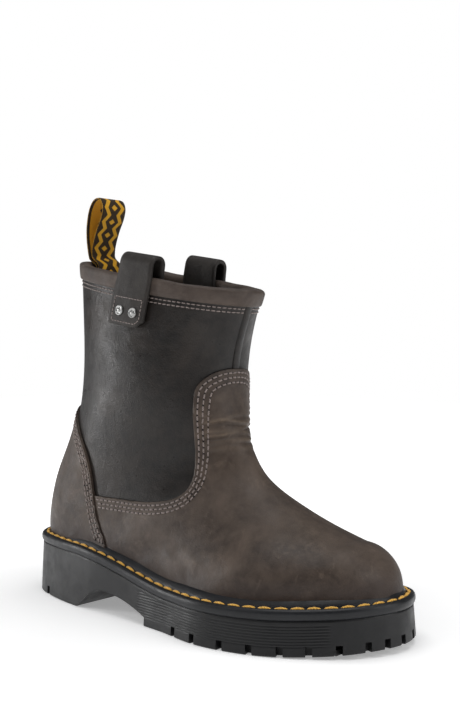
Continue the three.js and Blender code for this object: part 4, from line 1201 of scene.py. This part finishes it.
RIVET_SPREAD = 6.4  # each rivet from the strap's middle
STRAP_PITCH = 2.7
STRAP_NAMES = {-1: "pull_strap_lateral", 1: "pull_strap_medial"}
strap_rows = []
for side, name in STRAP_NAMES.items():
    centres, normals = strap(side, name)
    # A box of stitching round the rivets.
    half_thickness = STRAP["thickness"] / 2

    def on_strap(i, k):
        i0, k0 = min(int(i), len(centres) - 2), min(int(k), centres.shape[1] - 2)
        u, v = i - i0, k - k0
        blend = ((1 - u) * (1 - v), (1 - u) * v, u * (1 - v), u * v)
        cells = ((i0, k0), (i0, k0 + 1), (i0 + 1, k0), (i0 + 1, k0 + 1))
        p = sum(w * (centres[c] + normals[c] * half_thickness) for w, c in zip(blend, cells))
        m = sum(w * normals[c] for w, c in zip(blend, cells))
        return np.concatenate([p, m / np.linalg.norm(m)])

    # The box of stitching, as places along and across the strap.
    foot_row = 15 / (STRAP["below"] + STRAP["foot"])
    low, high, near = 2.4 * foot_row, 19.5 * foot_row, 14 * 0.09
    corners = [(low, near), (high, near), (high, 14 - near), (low + 3.2 * foot_row, 14 - near),
               (low, 14 - near - 1.6), (low, near)]
    for (i0, k0), (i1, k1) in zip(corners, corners[1:]):
        shares = np.linspace(0, 1, 14)
        row = [on_strap(i0 + u * (i1 - i0), k0 + u * (k1 - k0)) for u in shares]
        strap_rows.append(resampled(np.array(row), STRAP_PITCH))

    # Two rivets stand side by side above the strap's outer end.
    for share, label in ((-1, "rear"), (1, "front")):
        node = f"rivet_{STRAP_NAMES[side].split('_')[-1]}_{label}"
        i = 15 * STRAP["foot"] / (STRAP["below"] + STRAP["foot"])
        place = on_strap(i, 7 + share * RIVET_SPREAD / STRAP["width"] * 14)
        p, m = place[:3], place[3:]
        ahead = ALONG - m * (ALONG @ m)
        ahead /= np.linalg.norm(ahead)
        up = np.cross(m, ahead)
        rings = []
        profile = [(2.2, -1.6), (3.2, -0.3), (3.55, 0.0), (3.65, 0.4), (3.5, 0.8), (3.15, 1.0), (2.75, 0.95),
                   (2.4, 0.6), (1.9, 0.5), (1.55, 0.75), (1.3, 1.05), (0.8, 1.25), (0.2, 1.3)]
        for radius, height in profile:
            rings.append(np.array([p + m * height + radius * (ahead * math.cos(a) + up * math.sin(a))
                                   for a in np.arange(28) * TURN / 28]))
        points, faces = sweep(rings)
        make(f"{node}_head", points, faces, SILVER, replaces=[node], slot="rivet_metal")

stitches("strap_stitches", strap_rows, SEAM_THREAD, 2.1, 0.36, slot="strap_leather", lift=0.2, sink=0.5)
# Dark domes of painted shade stand for the needle holes between the strap stitches.
hole_shades("strap_needle_hole_shades", strap_rows, HOLE_SHADE, 0.4, pitch=STRAP_PITCH, lift=0.04, slot="strap_leather")


# ---------------------------------------------------------------- the heel loop
LOOP_LINE = [
    (7.6, -26), (7.8, -18), (8.0, -10), (6.5, -4), (-0.2, 0.6), (-1.8, 4), (-2.9, 9), (-4.0, 18), (-3.6, 28),
    (-0.6, 39.5), (4.8, 46.2), (11, 46.5), (14.2, 40.8), (12.5, 33), (7.5, 23.5), (3.6, 14),
    (2.2, 8), (2.6, 3),
    (7.6, -1.5), (9.6, -5), (9.8, -11), (9.7, -18), (9.6, -26),
]
LOOP_WIDTH, LOOP_HALF = 24, 0.65
line = open_curve(LOOP_LINE, 150)
ahead = np.gradient(line, axis=0)
ahead /= np.linalg.norm(ahead, axis=1, keepdims=True)
left = np.stack([-ahead[:, 1], ahead[:, 0]], 1)  # away from the middle of the loop
paced = np.concatenate([[0], np.cumsum(np.linalg.norm(np.diff(line, axis=0), axis=1))])
loop_points = []
ACROSS = 16
cross = [(k / ACROSS - 0.5, 1) for k in range(ACROSS + 1)]
cross += [(0.5 - k / ACROSS, -1) for k in range(ACROSS + 1)]
for i, (p, side_on) in enumerate(zip(line, left)):
    for across, face in cross:
        rounding = 1 - 0.55 * (abs(across) > 0.49)
        sway = 0.5 * math.sin(paced[i] / 22) * across
        q = p + side_on * (face * LOOP_HALF * rounding + sway)
        loop_points.append((PIVOT[0] + q[0], across * LOOP_WIDTH, PIVOT[2] + q[1]))
count = len(cross)
loop_faces = tube(0, len(line), count)
loop_faces += [tuple(range(count))[::-1], tuple(range((len(line) - 1) * count, len(line) * count))]
loop_faces = turn_out(loop_points, loop_faces)
loop = make("heel_loop_webbing", loop_points, loop_faces, WEBBING, body=None,
            replaces=["heel_loop", "heel_loop_tail"], slot="loop_webbing")
uv = loop.data.uv_layers.new(name="tape")
for corner in loop.data.loops:
    i, k = divmod(corner.vertex_index, count)
    across, face = cross[k]
    v = (across + 0.5) * 0.998 + 0.001
    uv.data[corner.index].uv = (paced[i] / LOOP_WIDTH, v if face > 0 else v + 2)
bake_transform(loop)

# ---------------------------------------------------------------- the footbed
def footbed(name, node, material):
    """A padded layer of the footbed: the CAD's shape, smoothly shaded."""
    cad = frame["nodes"][node]
    mesh = cad.data.copy()
    obj = link(name, mesh)
    mesh.materials.clear()
    mesh.materials.append(material)
    for polygon in mesh.polygons:
        polygon.material_index = 0
    mesh.shade_smooth()
    mesh.set_sharp_from_angle(angle=math.radians(40))
    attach(obj, "footbed")
    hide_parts(node)
    return obj


footbed("footbed_foam_pad", "footbed_foam", FOAM)
footbed("footbed_cover_cloth", "footbed_cover", LINING_CLOTH)

# ---------------------------------------------------------------- carried-over CAD nodes
KEPT = {
    "shank": STEEL, "toe_cap": STEEL, "bottom_filler": BOARD, "insole_board": BOARD, "heel_counter": BOARD,
    "heel_cushion": FOAM, "toe_cap_bead": FELT, "interlining": FELT,
}
for name, cad in frame["nodes"].items():
    finish = SILVER if name.startswith("rivet_burr") else KEPT.get(name)
    if finish:
        for material_slot in cad.material_slots:
            material_slot.material = finish

# ---------------------------------------------------------------- floor, light and camera
def studio():
    floor_material, shader = material("studio_floor", (0.93, 0.93, 0.93), 0.6)
    shader.inputs["Specular IOR Level"].default_value = 0.2
    n = Nodes(floor_material, shader)
    n.to("Base Color", n.ramp(n.noise(1.2, 2), (0.3, 0.92), (0.7, 0.94)))
    away = n.add("ShaderNodeVectorMath", **{"0": n.place})
    away.operation = "LENGTH"
    n.to("Emission Strength", n.ramp(away.outputs["Value"], (0.15, 0.3), (0.6, 0.95)))
    shader.inputs["Emission Color"].default_value = (1, 1, 1, 1)
    mesh = bpy.data.meshes.new("floor")
    mesh.from_pydata([(-2, -2, 0), (2, -2, 0), (2, 2, 0), (-2, 2, 0)], [], [(0, 1, 2, 3)])
    mesh.materials.append(floor_material)
    link("floor", mesh)

    world = bpy.data.worlds.new("studio")
    world.use_nodes = True
    bpy.context.scene.world = world
    tree = world.node_tree
    background = tree.nodes["Background"]
    camera_ray = tree.nodes.new("ShaderNodeLightPath").outputs["Is Camera Ray"]
    mix = tree.nodes.new("ShaderNodeMix")
    mix.data_type = "RGBA"
    mix.inputs[6].default_value = (0.12, 0.122, 0.127, 1)
    mix.inputs[7].default_value = (1, 1, 1, 1)
    tree.links.new(camera_ray, mix.inputs[0])
    tree.links.new(mix.outputs[2], background.inputs["Color"])
    background.inputs["Strength"].default_value = 1.0


def softbox(name, place, target, size, power):
    light = bpy.data.lights.new(name, "AREA")
    light.shape = "RECTANGLE"
    light.size, light.size_y = size
    light.energy = power
    lamp = link(name, light)
    lamp.location = place
    lamp.rotation_euler = (Vector(target) - Vector(place)).to_track_quat("-Z", "Y").to_euler()


studio()
MIDDLE = (0.02, 0, 0.15)  # what the lamps point at
LAMPS = [  # name, place, size, power
    ("strip_left", (-0.93, -0.56, 0.22), (0.16, 0.7), 5),
    ("key_left", (-0.3, -1.25, 0.95), (0.7, 0.8), 1.9),
    ("key_right", (1.15, 0.3, 0.55), (0.5, 0.9), 4.5),
    ("top", (0.15, -0.1, 1.4), (1.2, 1.2), 12),
]
for name, place, size, power in LAMPS:
    softbox(name, place, MIDDLE, size, power)

CAMERA_PLACE = Vector((0.5223, -0.5726, 0.2041))
CAMERA_AIM = Vector((0.02135, 0.00592, 0.18583))
LENS, SENSOR = 55.73, 36
camera_data = bpy.data.cameras.new("camera")
camera_data.lens = LENS
camera_data.sensor_width = SENSOR
camera = link("camera", camera_data)
camera.location = CAMERA_PLACE
camera.rotation_euler = (CAMERA_AIM - CAMERA_PLACE).to_track_quat("-Z", "Y").to_euler()
bpy.context.scene.camera = camera
bpy.context.scene.view_settings.view_transform = "Standard"
